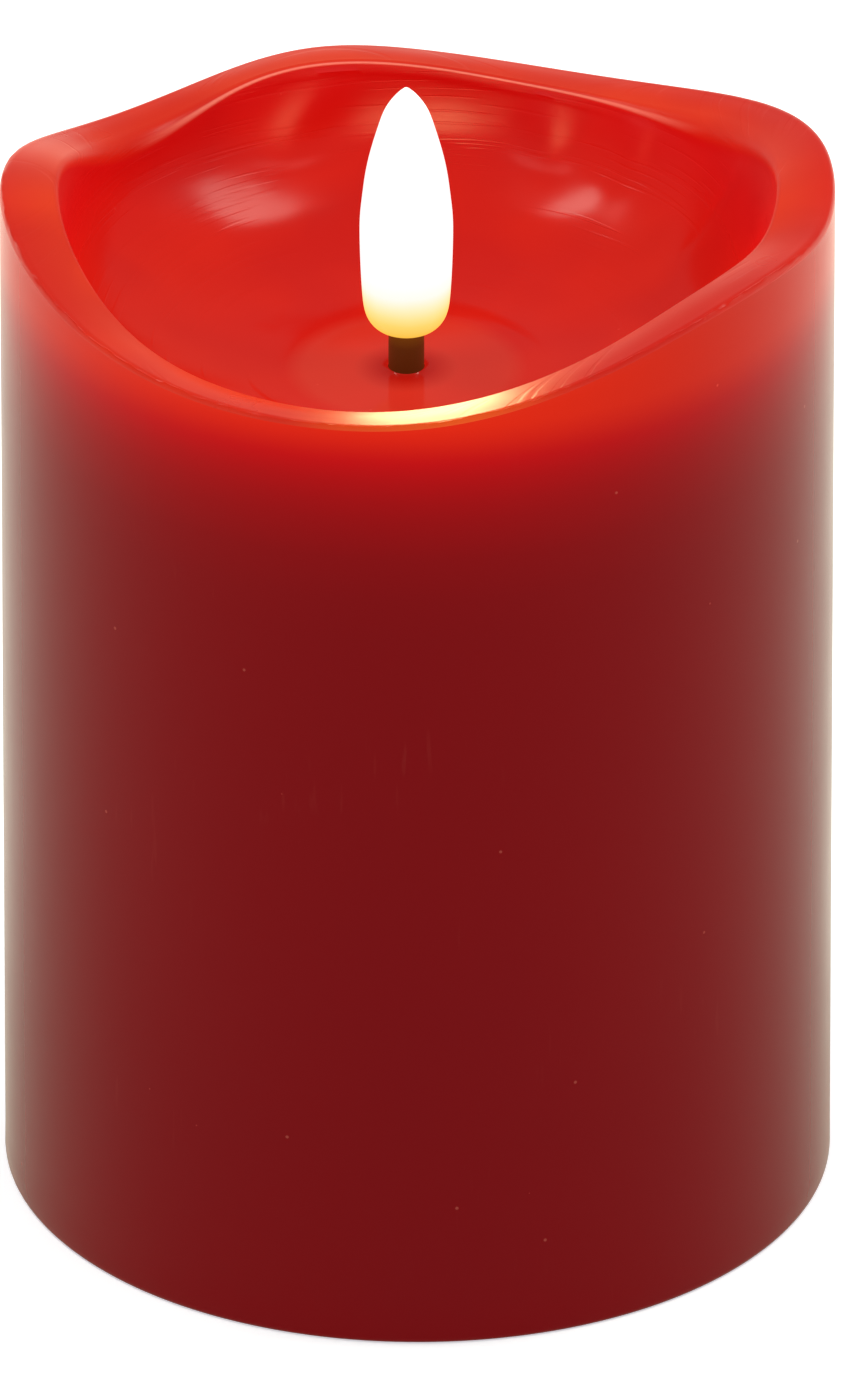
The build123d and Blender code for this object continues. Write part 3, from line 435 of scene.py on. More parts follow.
# Clouding in the cast wax, tiny pits in its skin, upright scuffs from handling, and the fine
# rings that the bowl keeps from being wiped.
PIT_SCALE, PIT_SIZE, PIT_CHOSEN = 260.0, 0.04, 0.6
SCUFF_STRETCH, RING_STRETCH = (1500, 1500, 160), (60, 60, 2600)
wax_skin, skin_in, skin_out = open_group(
    "wax skin", {"Pits": 1.0, "Scuffs": 1.0, "Rings": 0.0}, ("Cloud", "Marks", "Relief")
)
place = here(wax_skin)
grain = cloudy(wax_skin, place, 900.0, 3.0, 0.6)
cells = put(wax_skin, "ShaderNodeTexVoronoi", Vector=place, Scale=PIT_SCALE, Randomness=1.0)
pick = put(wax_skin, "ShaderNodeSeparateColor", in_0=cells.outputs["Color"]).outputs[0]
small = calc(wax_skin, "LESS_THAN", cells.outputs["Distance"], PIT_SIZE)
pits = times(wax_skin, small, calc(wax_skin, "GREATER_THAN", pick, PIT_CHOSEN), skin_in["Pits"])
patch = cloudy(wax_skin, place, 70.0, 1.0)
upright = streaks(wax_skin, place, SCUFF_STRETCH, 0.66, span(wax_skin, patch, 0.62, 0.70))
round_about = streaks(wax_skin, place, RING_STRETCH, 0.56, span(wax_skin, patch, 0.42, 0.50))
marks = calc(wax_skin, "MAXIMUM", pits, times(wax_skin, upright, skin_in["Scuffs"], 0.09))
dents = calc(wax_skin, "ADD", marks, times(wax_skin, round_about, skin_in["Rings"], 1.2))
feed(
    wax_skin, skin_out, Cloud=cloudy(wax_skin, place, 45.0, 4.0, 0.55), Marks=marks,
    Relief=calc(wax_skin, "SUBTRACT", times(wax_skin, grain, 0.25), dents),
)

WAX_TONE, CLOUDED_TONE = (0.190, 0.0022, 0.0040), (0.178, 0.0028, 0.0055)
# The pale tone of pits, and the tone of a painted highlight line along the inner lip at the back.
PIT_TONE, LIP_HIGHLIGHT_TONE = (0.62, 0.16, 0.12), (0.75, 0.42, 0.34)
# How rough the bowl gets between two heights in millimetres, and how rough the rim is.
WIPED, BOWL_ROUGH, RIM_ROUGH = (80.0, 96.0), [(0.5, 0.26), (0.75, 0.38), (1, 0.6)], 0.31
PAINTED_LIP_HIGHLIGHT = 0.5        # how strongly a painted highlight line pales the inner lip at the back
LIP_BACK = 19 * MM, 29 * MM  # where that starts and where it is full, behind the middle
# Painted red glow for the light that comes through the wall, at each height in millimetres where the rim
# is low, and how much of it is lost with each millimetre that the rim stands higher.
GLOW = [
    (0, 0), (20, 0), (40, 0.006), (60, 0.013), (72, 0.022), (76, 0.032), (80, 0.060), (82, 0.092),
    (84, 0.128), (86, 0.180), (88, 0.258), (90, 0.37), (92, 0.52), (93.5, 0.60), (96, 0.62), (100, 0.62),
]
LOW_RIM, RIM_LOSS = 93.9, 0.045
# Painted glow in the melted wax: in the bowl from the pool to the lip, in the rim far from the flame and
# near it, and a painted pool of the bulb's light on the low front of the rim, each with the heights or
# distances in millimetres that it runs between.
BOWL_LIGHT = [(0.0, (0.45, 0.010, 0)), (0.4, (0.45, 0.006, 0)), (1.0, (0.45, 0.001, 0))]
RIM_LIGHT = [(0.0, (0.48, 0.012, 0)), (1.0, (0.56, 0.036, 0))]
THROWN_LIGHT = (0.12, 0.062, 0.001)
BOWL_RUN, RIM_RUN, THROWN_RUN = (81.0, 93.0), (40.0, 31.0), (15.0, 2.0)
# What is left of the painted glow in darker patches, and in the painted shade of the wick; and a paler
# painted glow on the flat disc round the wick.
PATCHES = [(0.36, (0.84, 0.6, 0.6)), (0.62, 1)]
WICK_SHADE = [(0.0, 0.6), (0.09, 0.6), (0.24, 1)]
PAINTED_DISC_GLOW = [(0.12, 0), (0.22, (0, 0.016, 0.009)), (0.46, (0, 0.015, 0.008)), (0.55, 0)]


def wax_finish(name, lit=None, melted=False, **sockets):
    """Wax with clouding, pits and relief, and a painted lip highlight when melted; lit makes its painted
    glow from inside.
    """
    finish, tree, shader = new_finish(name, **sockets)
    marked = {"Pits": 0.3, "Scuffs": 0.0, "Rings": 1.0} if melted else {}
    skin = placed(tree, wax_skin, **marked)
    colour = blend(tree, skin["Cloud"], WAX_TONE, CLOUDED_TONE)
    colour = blend(tree, times(tree, skin["Marks"], 0.3), colour, PIT_TONE)
    rough = sockets["Roughness"]
    if melted:
        field = placed(tree, wax_field)
        wiped = ramp(tree, span(tree, field["Height"], *WIPED), [(0.1, rough), *BOWL_ROUGH])
        rough = fade(tree, field["Rim"], wiped, RIM_ROUGH)
        # A painted highlight line: the inner lip made paler at the back.
        lip = ramp(tree, field["Rim"], [(0.08, 0), (0.24, 1), (0.36, 1), (0.5, 0)])
        back = ease(tree, xyz(tree, here(tree))[1], *LIP_BACK)
        colour = blend(tree, times(tree, lip, back, PAINTED_LIP_HIGHLIGHT), colour, LIP_HIGHLIGHT_TONE)
    if lit:
        glow(tree, shader, lit(tree))
    emboss(tree, shader, skin["Relief"], 0.25, 0.05 * MM)
    uneven = span(tree, skin["Cloud"], 0.3, 0.7, 0.85, 1.15)
    feed(tree, shader, Base_Color=colour, Roughness=times(tree, uneven, rough))
    return finish


def wall_light(tree):
    """Painted glow of the light through the wall: by height, and weaker where the rim stands high and at
    the sides.
    """
    field = placed(tree, wax_field)
    stops = [(z / 100, (red, 0.018 * max(0, red - 0.4) / 0.2, 0)) for z, red in GLOW]
    through = ramp(tree, times(tree, field["Height"], 0.01), stops)
    high = calc(tree, "MULTIPLY_ADD", field["Rim height"], -RIM_LOSS, 1 + LOW_RIM * RIM_LOSS)
    facing = calc(tree, "MULTIPLY_ADD", field["Front"], 0.3, 0.7)
    return dim(tree, through, times(tree, calc(tree, "MINIMUM", high, 1.0), facing))


def melt_light(tree):
    """Painted glow in the melted bowl and rim, with a painted pool of the bulb's light on the rim's low
    front.
    """
    field = placed(tree, wax_field)
    inside = ramp(tree, ease(tree, field["Height"], *BOWL_RUN), BOWL_LIGHT)
    outside = ramp(tree, ease(tree, field["Flame"], *RIM_RUN), RIM_LIGHT)
    lit = blend(tree, field["Rim"], inside, outside)
    # A painted pool of the bulb's light on the rim's low front.
    spot = ease(tree, field["Spot"], *THROWN_RUN)
    lit = calc3(tree, "ADD", lit, dim(tree, THROWN_LIGHT, spot))
    lit = calc3(tree, "MULTIPLY", lit, ramp(tree, cloudy(tree, here(tree), 75.0, 1.5), PATCHES))
    off_wick = times(tree, field["Wick"], 0.05)
    lit = calc3(tree, "MULTIPLY", lit, ramp(tree, off_wick, WICK_SHADE))
    # A paler painted glow on the flat disc round the wick.
    return calc3(tree, "ADD", lit, ramp(tree, off_wick, PAINTED_DISC_GLOW))


for finish in (
    wax_finish("wax wall", wall_light, Roughness=0.20, IOR=1.25, Specular_Tint=(1, 0.3, 0.34, 1)),
    wax_finish("melted wax", melt_light, melted=True, Roughness=0.12, IOR=1.28),
    wax_finish("cut wax", Roughness=0.6, IOR=1.4),
):
    wax.data.materials.append(finish)
WALL, MELT, CUT = 0, 1, 2
finish_of = {
    "hole": CUT, "hole lip": MELT, "disc": MELT, "dish": MELT, "inner wall": MELT, "inner lip": MELT,
    "band": MELT, "outer lip": MELT, "wall": WALL, "foot edge": WALL, "foot": CUT, "cavity": CUT,
    "roof": CUT,
}
for face in wax.data.polygons:
    parts = sorted({rings[v] for v in face.vertices})
    first = parts[-1] if parts[-1] - parts[0] > 1 else parts[0]
    face.material_index = finish_of[wax_outline[first][0]]
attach(wax, "candle")
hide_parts("wax_body")

# ------------------------------------------------------------------ core cup
# A cup moulded in ivory plastic that fills the pillar from below. It carries the works and
# holds the wick in a boss on its closed end. No eye sees it while the wax is whole.
moulded_skin, skin_in, skin_out = open_group(
    "moulded skin", {"Texture": 1.0, "Wear": 0.5}, ("Tone", "Scuffs", "Relief")
)
place = here(moulded_skin)
flow = cloudy(moulded_skin, place, 70.0, 3.0)
patch = span(moulded_skin, flow, 0.5, 0.65)
skewed = streaks(moulded_skin, place, (180, 2600, 900), 0.68, patch, turn=0.5)
scuffs = times(moulded_skin, skewed, skin_in["Wear"])
spark = times(moulded_skin, cloudy(moulded_skin, place, 3200.0, 2.0), skin_in["Texture"])
relief = calc(moulded_skin, "SUBTRACT", spark, scuffs)
feed(moulded_skin, skin_out, Tone=flow, Scuffs=scuffs, Relief=relief)


def moulded(name, dark, light, rough, texture=1.0, wear=0.5, **sockets):
    """Moulded plastic: its tone drifts a little, its skin is spark-eroded and it has scuffs."""
    finish, tree, shader = new_finish(name, **sockets)
    skin = placed(tree, moulded_skin, Texture=texture, Wear=wear)
    tone = ramp(tree, skin["Tone"], [(0.3, dark), (0.7, light)])
    worn = tuple(min(1.0, v * 1.5 + 0.05) for v in light)
    feed(
        tree, shader, Base_Color=blend(tree, times(tree, skin["Scuffs"], 0.6), tone, worn),
        Roughness=span(tree, skin["Tone"], 0.3, 0.7, rough * 0.88, rough * 1.12),
    )
    emboss(tree, shader, skin["Relief"], 0.35, 0.03 * MM)
    return finish


def dress(finish, *names):
    """Gives CAD pieces their finish."""
    for name in names:
        for place in nodes[name].material_slots:
            place.material = finish


dress(moulded("ivory plastic", (0.66, 0.60, 0.47), (0.74, 0.69, 0.57), 0.45, wear=0.3), "core_cup")

# ------------------------------------------------------------------ wick
# A dark brown plastic tube with a flange at its foot. It is pushed up through the cup's boss,
# stands out of the pool and holds the bulb, and the LED's wires run down inside it.
wick_low, wick_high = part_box("wick_tube")
flange_r = wick_high.y
flange_z = first_hit("wick_tube", (wick_x, flange_r - 0.3 * MM, 75 * MM), (0, 0, -1)).z
TURNED_SIDES = 48


def turned(name, line, levels):
    """A turned piece: a ring on the wick's axis, extruded and scaled along its line of heights
    and radii, then rounded by subdivision."""
    bpy.ops.object.select_all(action="DESELECT")
    height, r = line[0]
    bpy.ops.mesh.primitive_circle_add(
        vertices=TURNED_SIDES, radius=r, fill_type="NGON", location=(wick_x, 0, height)
    )
    piece = bpy.context.object
    piece.name = piece.data.name = name
    bpy.ops.object.transform_apply(location=True, rotation=False, scale=False)
    bpy.ops.object.mode_set(mode="EDIT")
    bpy.ops.mesh.select_all(action="SELECT")
    for (low, r_low), (high, r_high) in zip(line, line[1:]):
        bpy.ops.mesh.extrude_region_move(TRANSFORM_OT_translate={"value": (0, 0, high - low)})
        wider = r_high / r_low
        bpy.ops.transform.resize(value=(wider, wider, 1), center_override=(wick_x, 0, high))
    bpy.ops.mesh.select_all(action="SELECT")
    bpy.ops.mesh.normals_make_consistent(inside=False)
    bpy.ops.object.mode_set(mode="OBJECT")
    smooth = piece.modifiers.new("rounding", "SUBSURF")
    smooth.levels = smooth.render_levels = levels
    bpy.ops.object.modifier_apply(modifier=smooth.name)
    bpy.ops.object.shade_smooth()
    return piece


EDGE = 0.12 * MM         # rounding of the tube's and the flange's edges
TIP = 0.05 * MM          # where a closed end starts
wick = turned(
    "wick_stem",
    [
        (wick_low.z, TIP), (wick_low.z, flange_r - EDGE), (wick_low.z + EDGE, flange_r),
        (flange_z - EDGE, flange_r), (flange_z, flange_r - EDGE), (flange_z, wick_r + EDGE),
        (flange_z + EDGE, wick_r), (pool_z - MM, wick_r * 0.995), (pool_z + MM, wick_r),
        (wick_high.z - 3 * EDGE, wick_r), (wick_high.z - EDGE, wick_r - EDGE),
        (wick_high.z, wick_r - 3 * EDGE), (wick_high.z, TIP),
    ],
    levels=1,
)
stem = moulded("wick plastic", (0.016, 0.007, 0.002), (0.030, 0.012, 0.004), 0.42, wear=0.2)
tree, shader = shader_of(stem)
warm = ease(tree, xyz(tree, here(tree))[2], pool_z, wick_high.z)
# Painted light of the bulb on the wick, most at its top.
WICK_LIGHT = [(0.0, (0.045, 0.008, 0.0)), (0.6, (0.055, 0.013, 0.001)), (1.0, (0.12, 0.036, 0.002))]
glow(tree, shader, ramp(tree, warm, WICK_LIGHT))
wick.data.materials.append(stem)
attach(wick, "candle")
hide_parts("wick_tube")

# ------------------------------------------------------------------ LED
# A warm white LED of clear amber epoxy on two tinned steel leads, pushed up into the bulb's
# foot. Its leads run down inside the wick.
TIN, LED_LIGHT = (0.62, 0.61, 0.58), (1.0, 0.75, 0.35)
AMBER = [(0.3, (0.90, 0.58, 0.22)), (0.7, (0.98, 0.72, 0.36))]
led, tree, shader = new_finish("LED epoxy", Roughness=0.12, IOR=1.54)
place = here(tree)
lens = span(tree, xyz(tree, place)[2], wick_high.z, wick_high.z + MM)
amber = ramp(tree, cloudy(tree, place, 500.0, 2.0), AMBER)
feed(tree, shader, Base_Color=blend(tree, lens, TIN, amber), Metallic=calc(tree, "SUBTRACT", 1.0, lens))
glow(tree, shader, dim(tree, LED_LIGHT, lens))
dress(led, "flame_led")

# ------------------------------------------------------------------ flame bulb
# A hollow bulb of milky plastic over the LED. Lit, it is white-hot all over and turns yellow
# only where it narrows onto the wick. It is a little slimmer than its CAD lens towards the tip.
bulb_r = lens_high.y
bulb_low, bulb_high = lens_low.z + 0.7 * MM, lens_high.z - 0.65 * MM
# Shares of the bulb's height and of its radius.
BULB_LINE = [
    (0.0, 0.33), (0.003, 0.46), (0.014, 0.62), (0.034, 0.75), (0.062, 0.85), (0.100, 0.905),
    (0.150, 0.930), (0.215, 0.952), (0.300, 0.972), (0.400, 0.985), (0.460, 0.980), (0.510, 0.955),
    (0.565, 0.918),
    (0.625, 0.880), (0.690, 0.815), (0.755, 0.725), (0.820, 0.620), (0.870, 0.535), (0.908, 0.450),
    (0.943, 0.325), (0.972, 0.195), (0.990, 0.090), (1.0, 0.02),
]
# Its light from the foot up, over the first 7 mm.
BULB_LIGHT = [
    (0.0, (0.88, 0.36, 0.03)), (0.10, (0.95, 0.55, 0.07)), (0.30, (0.97, 0.68, 0.15)),
    (0.43, (0.98, 0.79, 0.30)), (0.57, (0.99, 0.89, 0.55)), (0.72, (1.0, 0.97, 0.88)), (0.9, 1.0),
]
# How strongly it shines on other pieces and in the mirror of shiny wax, where it is brighter
# than white except at its dim foot, and the colour of that light.
BULB_CAST, BULB_MIRRORED, FOOT_MIRRORED = 2.0, 17.0, 0.4
CAST_LIGHT = (1.0, 0.74, 0.36)
bulb_line = [(mix(bulb_low, bulb_high, up), wide * bulb_r) for up, wide in BULB_LINE]
flame = turned("flame_bulb", bulb_line, levels=2)
milk, tree, shader = new_finish(
    "lit milky plastic", Base_Color=(0.08, 0.06, 0.03, 1), Roughness=0.22, IOR=1.49
)
place = here(tree)
cloud = calc(tree, "SUBTRACT", cloudy(tree, place, 180.0, 2.0), 0.5)
up = calc(tree, "ADD", xyz(tree, place)[2], times(tree, cloud, 0.6 * MM))
heat = ramp(tree, span(tree, up, bulb_low, bulb_low + 7 * MM), BULB_LIGHT)
mirrored = ease(tree, up, bulb_low + 3 * MM, bulb_low + 10 * MM, FOOT_MIRRORED, BULB_MIRRORED)
path = put(tree, "ShaderNodeLightPath").outputs
cast = fade(tree, path["Is Glossy Ray"], BULB_CAST, mirrored)
feed(
    tree, shader, Emission_Color=blend(tree, path["Is Camera Ray"], CAST_LIGHT, heat),
    Emission_Strength=fade(tree, path["Is Camera Ray"], cast, 1.0),
)
flame.data.materials.append(milk)
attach(flame, "candle")
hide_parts("flame_lens")

# ------------------------------------------------------------------ control board
# A small board of green-masked glass laminate with copper tracks under the mask. It hangs on
# two posts behind the switch and times the light.
LAMINATE, MASK, MASKED_TRACK = (0.40, 0.36, 0.16), (0.004, 0.055, 0.018), (0.012, 0.13, 0.04)
board, tree, shader = new_finish("green board", Roughness=0.3, IOR=1.52)
place = here(tree)
tiles = put(
    tree, "ShaderNodeTexVoronoi", {"distance": "CHEBYCHEV"}, Vector=place, Scale=420.0, Randomness=0.8
)
pick = put(tree, "ShaderNodeSeparateColor", in_0=tiles.outputs["Color"]).outputs
tracks = []
for direction in ("X", "Y"):
    wave = put(tree, "ShaderNodeTexWave", {"bands_direction": direction}, Vector=place, Scale=330.0)
    tracks.append(calc(tree, "GREATER_THAN", wave.outputs["Fac"], 0.62))
track = fade(tree, calc(tree, "GREATER_THAN", pick[0], 0.5), *tracks)
track = times(tree, track, calc(tree, "GREATER_THAN", pick[1], 0.35))
upright = xyz(tree, put(tree, "ShaderNodeNewGeometry").outputs["Normal"])[2]
face = calc(tree, "GREATER_THAN", calc(tree, "ABSOLUTE", upright), 0.5)
mask = ramp(tree, track, [(0.0, MASK), (1.0, MASKED_TRACK)])
feed(tree, shader, Base_Color=blend(tree, face, LAMINATE, mask))
emboss(tree, shader, track, 0.4, 0.03 * MM)
dress(board, "control_board")

# ------------------------------------------------------------------ plated metal
# Screws, contacts, springs and the crystal's can: thin steel pressed, wound or headed, and
# plated with nickel, which has gone a little dull and yellow in places.
plated_skin, skin_in, skin_out = open_group("plated skin", {"Stretch": (1, 1, 1)}, ("Tarnish", "Relief"))
place = here(plated_skin)
along = calc3(plated_skin, "MULTIPLY", place, skin_in["Stretch"])
feed(
    plated_skin, skin_out, Tarnish=cloudy(plated_skin, place, 260.0, 4.0, 0.65),
    Relief=cloudy(plated_skin, along, 900.0, 2.0),
)


def plated(name, bright, dull, rough, stretch, *pieces):
    """Dresses pieces in nickel-plated steel with drawing lines and a little tarnish."""
    finish, tree, shader = new_finish(name, Metallic=1.0)
    skin = placed(tree, plated_skin, Stretch=stretch)
    feed(
        tree, shader, Base_Color=ramp(tree, skin["Tarnish"], [(0.42, bright), (0.72, dull)]),
        Roughness=span(tree, skin["Tarnish"], 0.35, 0.7, rough, rough * 1.8),
    )
    emboss(tree, shader, skin["Relief"], 0.2, 0.02 * MM)
    dress(finish, *pieces)


NICKEL, DULL_NICKEL = (0.62, 0.60, 0.56), (0.44, 0.40, 0.33)
WIRE, STEEL, DULL_STEEL = (0.66, 0.64, 0.60), (0.50, 0.49, 0.47), (0.32, 0.29, 0.25)
CAN, DULL_CAN = (0.70, 0.69, 0.66), (0.56, 0.54, 0.49)
plated(
    "nickel plate", NICKEL, DULL_NICKEL, 0.24, (0.1, 1, 1),
    "positive_contact", "negative_contact", "link_contact",
)
plated("spring wire", WIRE, DULL_NICKEL, 0.18, (0.2, 1, 1), "negative_spring", "link_spring")
plated("screw steel", STEEL, DULL_STEEL, 0.30, (1, 1, 0.2), "base_screws", "board_screws")
plated("crystal can", CAN, DULL_CAN, 0.22, (0.1, 1, 1), "timer_crystal")

# ------------------------------------------------------------------ chip and resistors
# The timer chip is black epoxy on eight tinned legs, and the chip resistors are black glaze
# between tinned ends. All are soldered flat on the board.
CHIP_BODY, RESISTOR, RESISTOR_BODY = 4.0 * MM, 1.6 * MM, 0.95 * MM


def overlay(tree, shader, share, colour):
    """Puts another colour over a share of a finish."""
    plain = shader.inputs["Base Color"].links[0].from_socket
    feed(tree, shader, Base_Color=blend(tree, share, plain, colour))


def tinned(name, places, axis, body):
    """Black component bodies whose ends or legs, outside the places given in metres, are tin."""
    finish = moulded(name, (0.012, 0.012, 0.013), (0.020, 0.020, 0.022), 0.5, wear=0.1)
    tree, shader = shader_of(finish)
    across = xyz(tree, here(tree))[axis]
    covered = 0.0
    for middle in places:
        off = calc(tree, "ABSOLUTE", calc(tree, "SUBTRACT", across, middle))
        covered = calc(tree, "MAXIMUM", calc(tree, "LESS_THAN", off, body / 2), covered)
    tin = calc(tree, "SUBTRACT", 1.0, covered)
    overlay(tree, shader, tin, TIN)
    feed(tree, shader, Metallic=tin)
    return finish


chip_low, chip_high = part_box("control_chip")
dress(tinned("chip epoxy", [(chip_low.y + chip_high.y) / 2], 1, CHIP_BODY), "control_chip")
row_low, row_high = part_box("board_resistors")
row = [row_low.x + RESISTOR / 2, (row_low.x + row_high.x) / 2, row_high.x - RESISTOR / 2]
dress(tinned("resistor glaze", row, 0, RESISTOR_BODY), "board_resistors")

# ------------------------------------------------------------------ capacitor
# An electrolytic can in a dark blue shrink sleeve with a pale stripe down its negative side.
# The sleeve leaves the aluminium top bare.
can_low, can_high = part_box("filter_capacitor")
can_x, can_y = (can_low.x + can_high.x) / 2, (can_low.y + can_high.y) / 2
STRIPE, TOP_R, SLEEVE_LAP = 1.2 * MM, 1.45 * MM, 0.4 * MM
sleeve = moulded(
    "capacitor sleeve", (0.010, 0.014, 0.060), (0.014, 0.022, 0.085), 0.22, texture=0.2, wear=0.2
)
tree, shader = shader_of(sleeve)
x, y, z = xyz(tree, here(tree))
off_x, off_y = calc(tree, "SUBTRACT", x, can_x), calc(tree, "SUBTRACT", y, can_y)
narrow = calc(tree, "LESS_THAN", calc(tree, "ABSOLUTE", off_y), STRIPE / 2)
side = times(tree, calc(tree, "GREATER_THAN", off_x, 0.0), narrow)
wide = calc(tree, "ADD", calc(tree, "POWER", off_x, 2.0), calc(tree, "POWER", off_y, 2.0))
inside = calc(tree, "LESS_THAN", calc(tree, "SQRT", wide), TOP_R)
bare = times(tree, calc(tree, "GREATER_THAN", z, can_high.z - SLEEVE_LAP), inside)
overlay(tree, shader, side, (0.50, 0.52, 0.58))
overlay(tree, shader, bare, (0.70, 0.70, 0.71))
feed(tree, shader, Metallic=bare)
dress(sleeve, "filter_capacitor")

# ------------------------------------------------------------------ wires
# Stranded wires in soft coloured insulation, two from the battery contacts and two up to the
# LED, soldered at both ends and dusty from the moulding shop.
for tone, end, dark, light in (
    ("red", "positive", (0.30, 0.008, 0.006), (0.42, 0.016, 0.012)),
    ("black", "negative", (0.010, 0.010, 0.011), (0.022, 0.022, 0.023)),
):
    finish = moulded(
        tone + " insulation", dark, light, 0.38, texture=0.4, wear=0.15,
        Coat_Weight=0.2, Coat_Roughness=0.3,
    )
    dress(finish, "battery_wire_" + end, "led_wire_" + end)

# ------------------------------------------------------------------ slide switch
# A black housing hung on the board, and a grey knob that slides in the base's slot. The knob
# is polished by thumbs on the ribs that they push.
housing = moulded("switch housing", (0.014, 0.014, 0.014), (0.024, 0.024, 0.025), 0.5, wear=0.2)
dress(housing, "switch_body")
knob = moulded("grey knob", (0.20, 0.20, 0.205), (0.27, 0.27, 0.275), 0.34, texture=0.3, wear=0.7)
dress(knob, "switch_knob")

# ------------------------------------------------------------------ base and battery door
# The base is one moulding in black plastic with a spark-eroded skin: a flange, the battery
# box and the posts. The door is of the same plastic and has more scuffs.
base = moulded("black plastic base", (0.018, 0.018, 0.019), (0.030, 0.030, 0.031), 0.50, wear=0.6)
dress(base, "battery_base")
door = moulded("black plastic door", (0.019, 0.019, 0.020), (0.033, 0.033, 0.034), 0.46, wear=1.0)
dress(door, "battery_door")

# ------------------------------------------------------------------ battery cells
# Two AA cells: steel cans in a shrunk silver film with a charcoal band at the positive end.
# The film laps over the can's shoulders and leaves the ends bare.
CHARCOAL, BAND_EDGE, SILVER = (0.025, 0.026, 0.028), (0.30, 0.31, 0.33), (0.56, 0.56, 0.58)
BARE_STEEL, WORN_FILM = (0.60, 0.59, 0.56), (0.7, 0.7, 0.7)
# Millimetres from the flat end: its bare face, the shoulder and the positive cap; and how far
# in from the axis the ends are bare.
FLAT_END, SHOULDER, CAP, BARE_R = 0.2, 49.25, 49.6, 6.4 * MM
# The film's print from the flat end, in shares of 50 mm.
FILM = [
    (0.0, CHARCOAL), (0.045, CHARCOAL), (0.047, SILVER), (0.70, SILVER), (0.702, BAND_EDGE),
    (0.73, BAND_EDGE), (0.732, CHARCOAL), (1.0, CHARCOAL),
]


def cell_finish(name, way):
    """A cell's film and bare ends; way is 1 where its positive end points along x, or -1."""
    low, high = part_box(name)
    finish, tree, shader = new_finish(name + " film", IOR=1.5)
    x, y, z = xyz(tree, here(tree))
    along = times(tree, calc(tree, "SUBTRACT", x, low.x if way > 0 else high.x), way * 1000.0)
    off = put(
        tree, "ShaderNodeCombineXYZ", in_1=calc(tree, "SUBTRACT", y, (low.y + high.y) / 2),
        in_2=calc(tree, "SUBTRACT", z, (low.z + high.z) / 2),
    ).outputs[0]
    wide = put(tree, "ShaderNodeVectorMath", {"operation": "LENGTH"}, in_0=off).outputs["Value"]
    flat_end = calc(tree, "LESS_THAN", along, FLAT_END)
    ends = calc(tree, "MAXIMUM", flat_end, calc(tree, "GREATER_THAN", along, SHOULDER))
    bare = times(tree, ends, calc(tree, "LESS_THAN", wide, BARE_R))
    bare = calc(tree, "MAXIMUM", bare, calc(tree, "GREATER_THAN", along, CAP))
    printed = times(tree, along, 0.02)
    skin = placed(tree, moulded_skin, Texture=0.15, Wear=0.8)
    worn = blend(tree, times(tree, skin["Scuffs"], 0.4), ramp(tree, printed, FILM), WORN_FILM)
    metallic = span(tree, printed, 0.04, 0.05, 0.2, 0.75)
    feed(
        tree, shader, Base_Color=blend(tree, bare, worn, BARE_STEEL),
        Metallic=calc(tree, "MAXIMUM", bare, metallic),
        Roughness=span(tree, skin["Tone"], 0.3, 0.7, 0.24, 0.34),
    )
    emboss(tree, shader, skin["Relief"], 0.3, 0.03 * MM)
    return finish


dress(cell_finish("battery_cell_front", 1), "battery_cell_front")
dress(cell_finish("battery_cell_rear", -1), "battery_cell_rear")

# ------------------------------------------------------------------ floor, light and camera
# A pale floor that shows white, keeps the candle's shadow and is clear from below; even
# white surroundings; and soft lamps on both sides, overhead and in front.
FLOOR_R = 6.0
bpy.ops.object.select_all(action="DESELECT")
bpy.ops.mesh.primitive_circle_add(vertices=96, radius=FLOOR_R, fill_type="NGON")
floor = bpy.context.object
floor.name = "floor"
floor.visible_diffuse = False
# What the floor gives off to the camera, on top of the lamps' light, and to mirrors.
FLOOR_SEEN, FLOOR_MIRRORED = (0.35, 0.39, 0.45), (0.14, 0.15, 0.06)
paper, tree, shader = new_finish("floor paper", Base_Color=(0.86, 0.86, 0.85, 1), Roughness=0.9)
shader.inputs["Specular IOR Level"].default_value = 0.0
path = put(tree, "ShaderNodeLightPath").outputs
mirrored = calc(tree, "MAXIMUM", path["Is Glossy Ray"], path["Is Transmission Ray"])
feed(
    tree, shader, Emission_Strength=calc(tree, "MAXIMUM", path["Is Camera Ray"], mirrored),
    Emission_Color=blend(tree, path["Is Camera Ray"], FLOOR_MIRRORED, FLOOR_SEEN),
)
clear = put(tree, "ShaderNodeBsdfTransparent")
below = put(tree, "ShaderNodeNewGeometry").outputs["Backfacing"]
both = put(tree, "ShaderNodeMixShader", in_0=below, in_1=shader.outputs[0], in_2=clear.outputs[0])
feed(tree, tree.nodes["Material Output"], Surface=both.outputs[0])
floor.data.materials.append(paper)

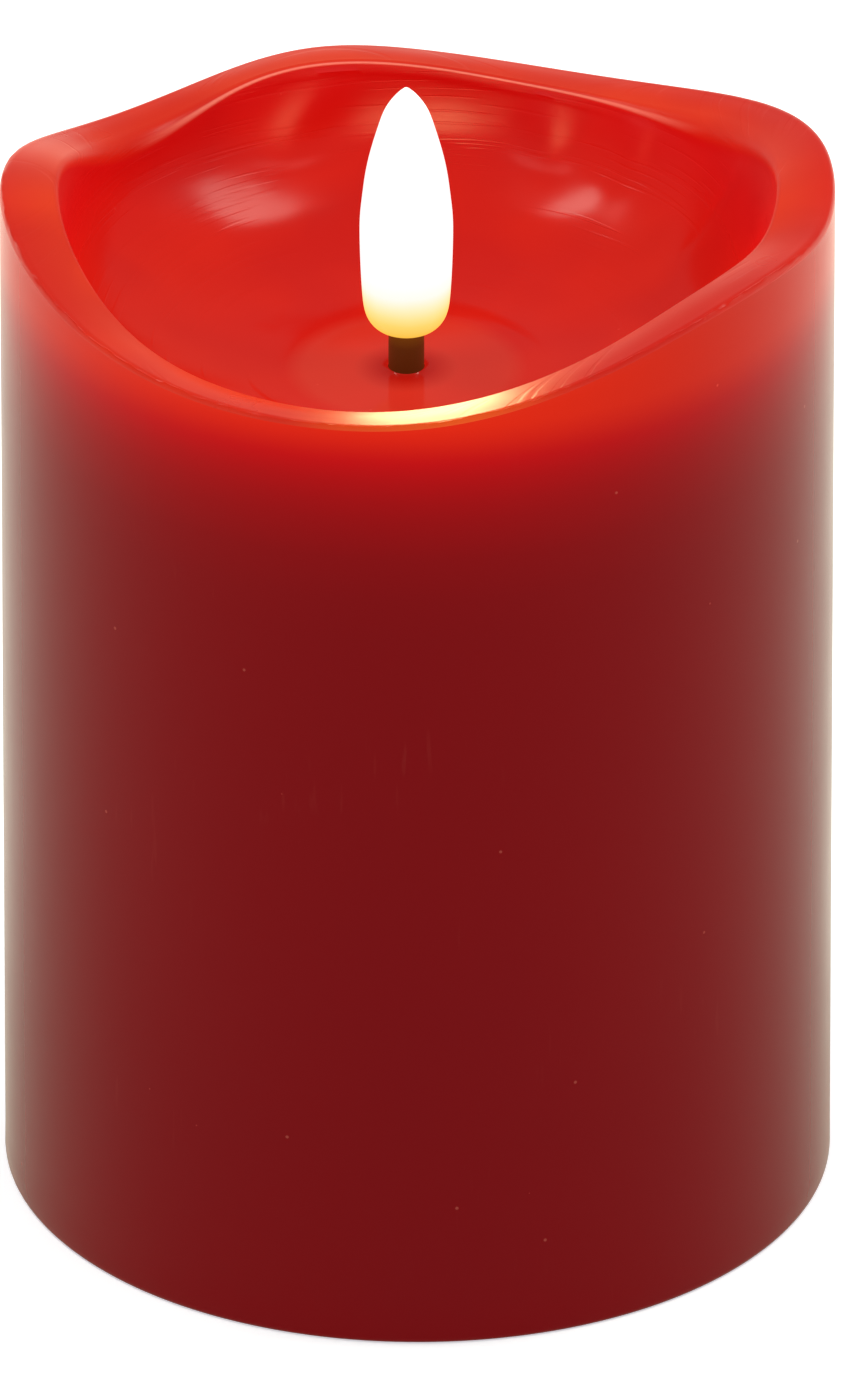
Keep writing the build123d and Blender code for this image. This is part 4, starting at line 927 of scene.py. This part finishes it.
# The room is white to the camera, a little less bright to the candle, and in mirrors its
# ceiling is darker than the horizon.
ROOM_LIGHT, ROOM_TONE, HORIZON, CEILING = 0.84, (1.0, 0.985, 0.90), 1.0, 0.30
world = bpy.data.worlds.new("white room")
bpy.context.scene.world = world
world.use_nodes = True
tree = world.node_tree
path = put(tree, "ShaderNodeLightPath").outputs
way = xyz(tree, put(tree, "ShaderNodeTexCoord").outputs["Generated"])[2]
mirrored = calc(tree, "MAXIMUM", path["Is Glossy Ray"], path["Is Transmission Ray"])
bright = fade(tree, mirrored, ROOM_LIGHT, ease(tree, way, -0.02, 0.13, HORIZON, CEILING))
feed(
    tree, tree.nodes["Background"], Strength=fade(tree, path["Is Camera Ray"], bright, 1.0),
    Color=blend(tree, path["Is Camera Ray"], ROOM_TONE, (1.0, 1.0, 1.0)),
)

aim = Vector((0.63 * MM, 0, 46.7 * MM))  # the middle of the view
LAMP_OFF = 0.9           # metres from the candle
LAMP_TONE = (1.0, 0.97, 0.86)


def lamp(name, one_end, other_end, wide, strength):
    """A long soft lamp that reaches from one direction to another."""
    one_end, other_end = Vector(one_end).normalized(), Vector(other_end).normalized()
    middle = (one_end + other_end) / 2
    bpy.ops.object.light_add(type="AREA", location=aim + LAMP_OFF * middle)
    light = bpy.context.object
    light.name = name
    light.data.shape = "ELLIPSE"
    light.data.size, light.data.size_y = LAMP_OFF * (other_end - one_end).length, wide
    light.data.color = LAMP_TONE
    light.data.energy = strength * math.pi * math.pi * light.data.size * wide / 4
    along, out = (other_end - one_end).normalized(), middle.normalized()
    light.rotation_mode = "QUATERNION"
    light.rotation_quaternion = Matrix((along, out.cross(along), out)).transposed().to_quaternion()


lamp("top_left", (-0.30, 0.26, 0.92), (-0.72, -0.07, 0.69), 0.17, 9.0)
lamp("top_right", (0.30, 0.25, 0.92), (0.79, -0.13, 0.60), 0.17, 9.0)
lamp("front_left", (-0.50, -0.46, 0.74), (-0.66, -0.34, 0.66), 0.2, 2.0)
lamp("front_right", (0.50, -0.46, 0.74), (0.66, -0.34, 0.66), 0.2, 2.0)

# A long lens far off, whose frame's long side takes in FRAME_LONG / SCALE millimetres.
LENS, FRAME_LONG, FILM_LONG, SCALE = 1000.0, 1380, 36.0, 11.067
distance = LENS / FILM_LONG * FRAME_LONG / SCALE * MM
rise = math.radians(28.5)
bpy.ops.object.camera_add(location=aim + distance * Vector((0, -math.cos(rise), math.sin(rise))))
camera = bpy.context.object
camera.name = "camera"
camera.data.lens = LENS
camera.data.clip_start, camera.data.clip_end = 0.1, 50
camera.rotation_mode = "QUATERNION"
camera.rotation_quaternion = (camera.location - aim).to_track_quat("Z", "Y")
bpy.context.scene.camera = camera
bpy.context.scene.view_settings.view_transform = "Standard"
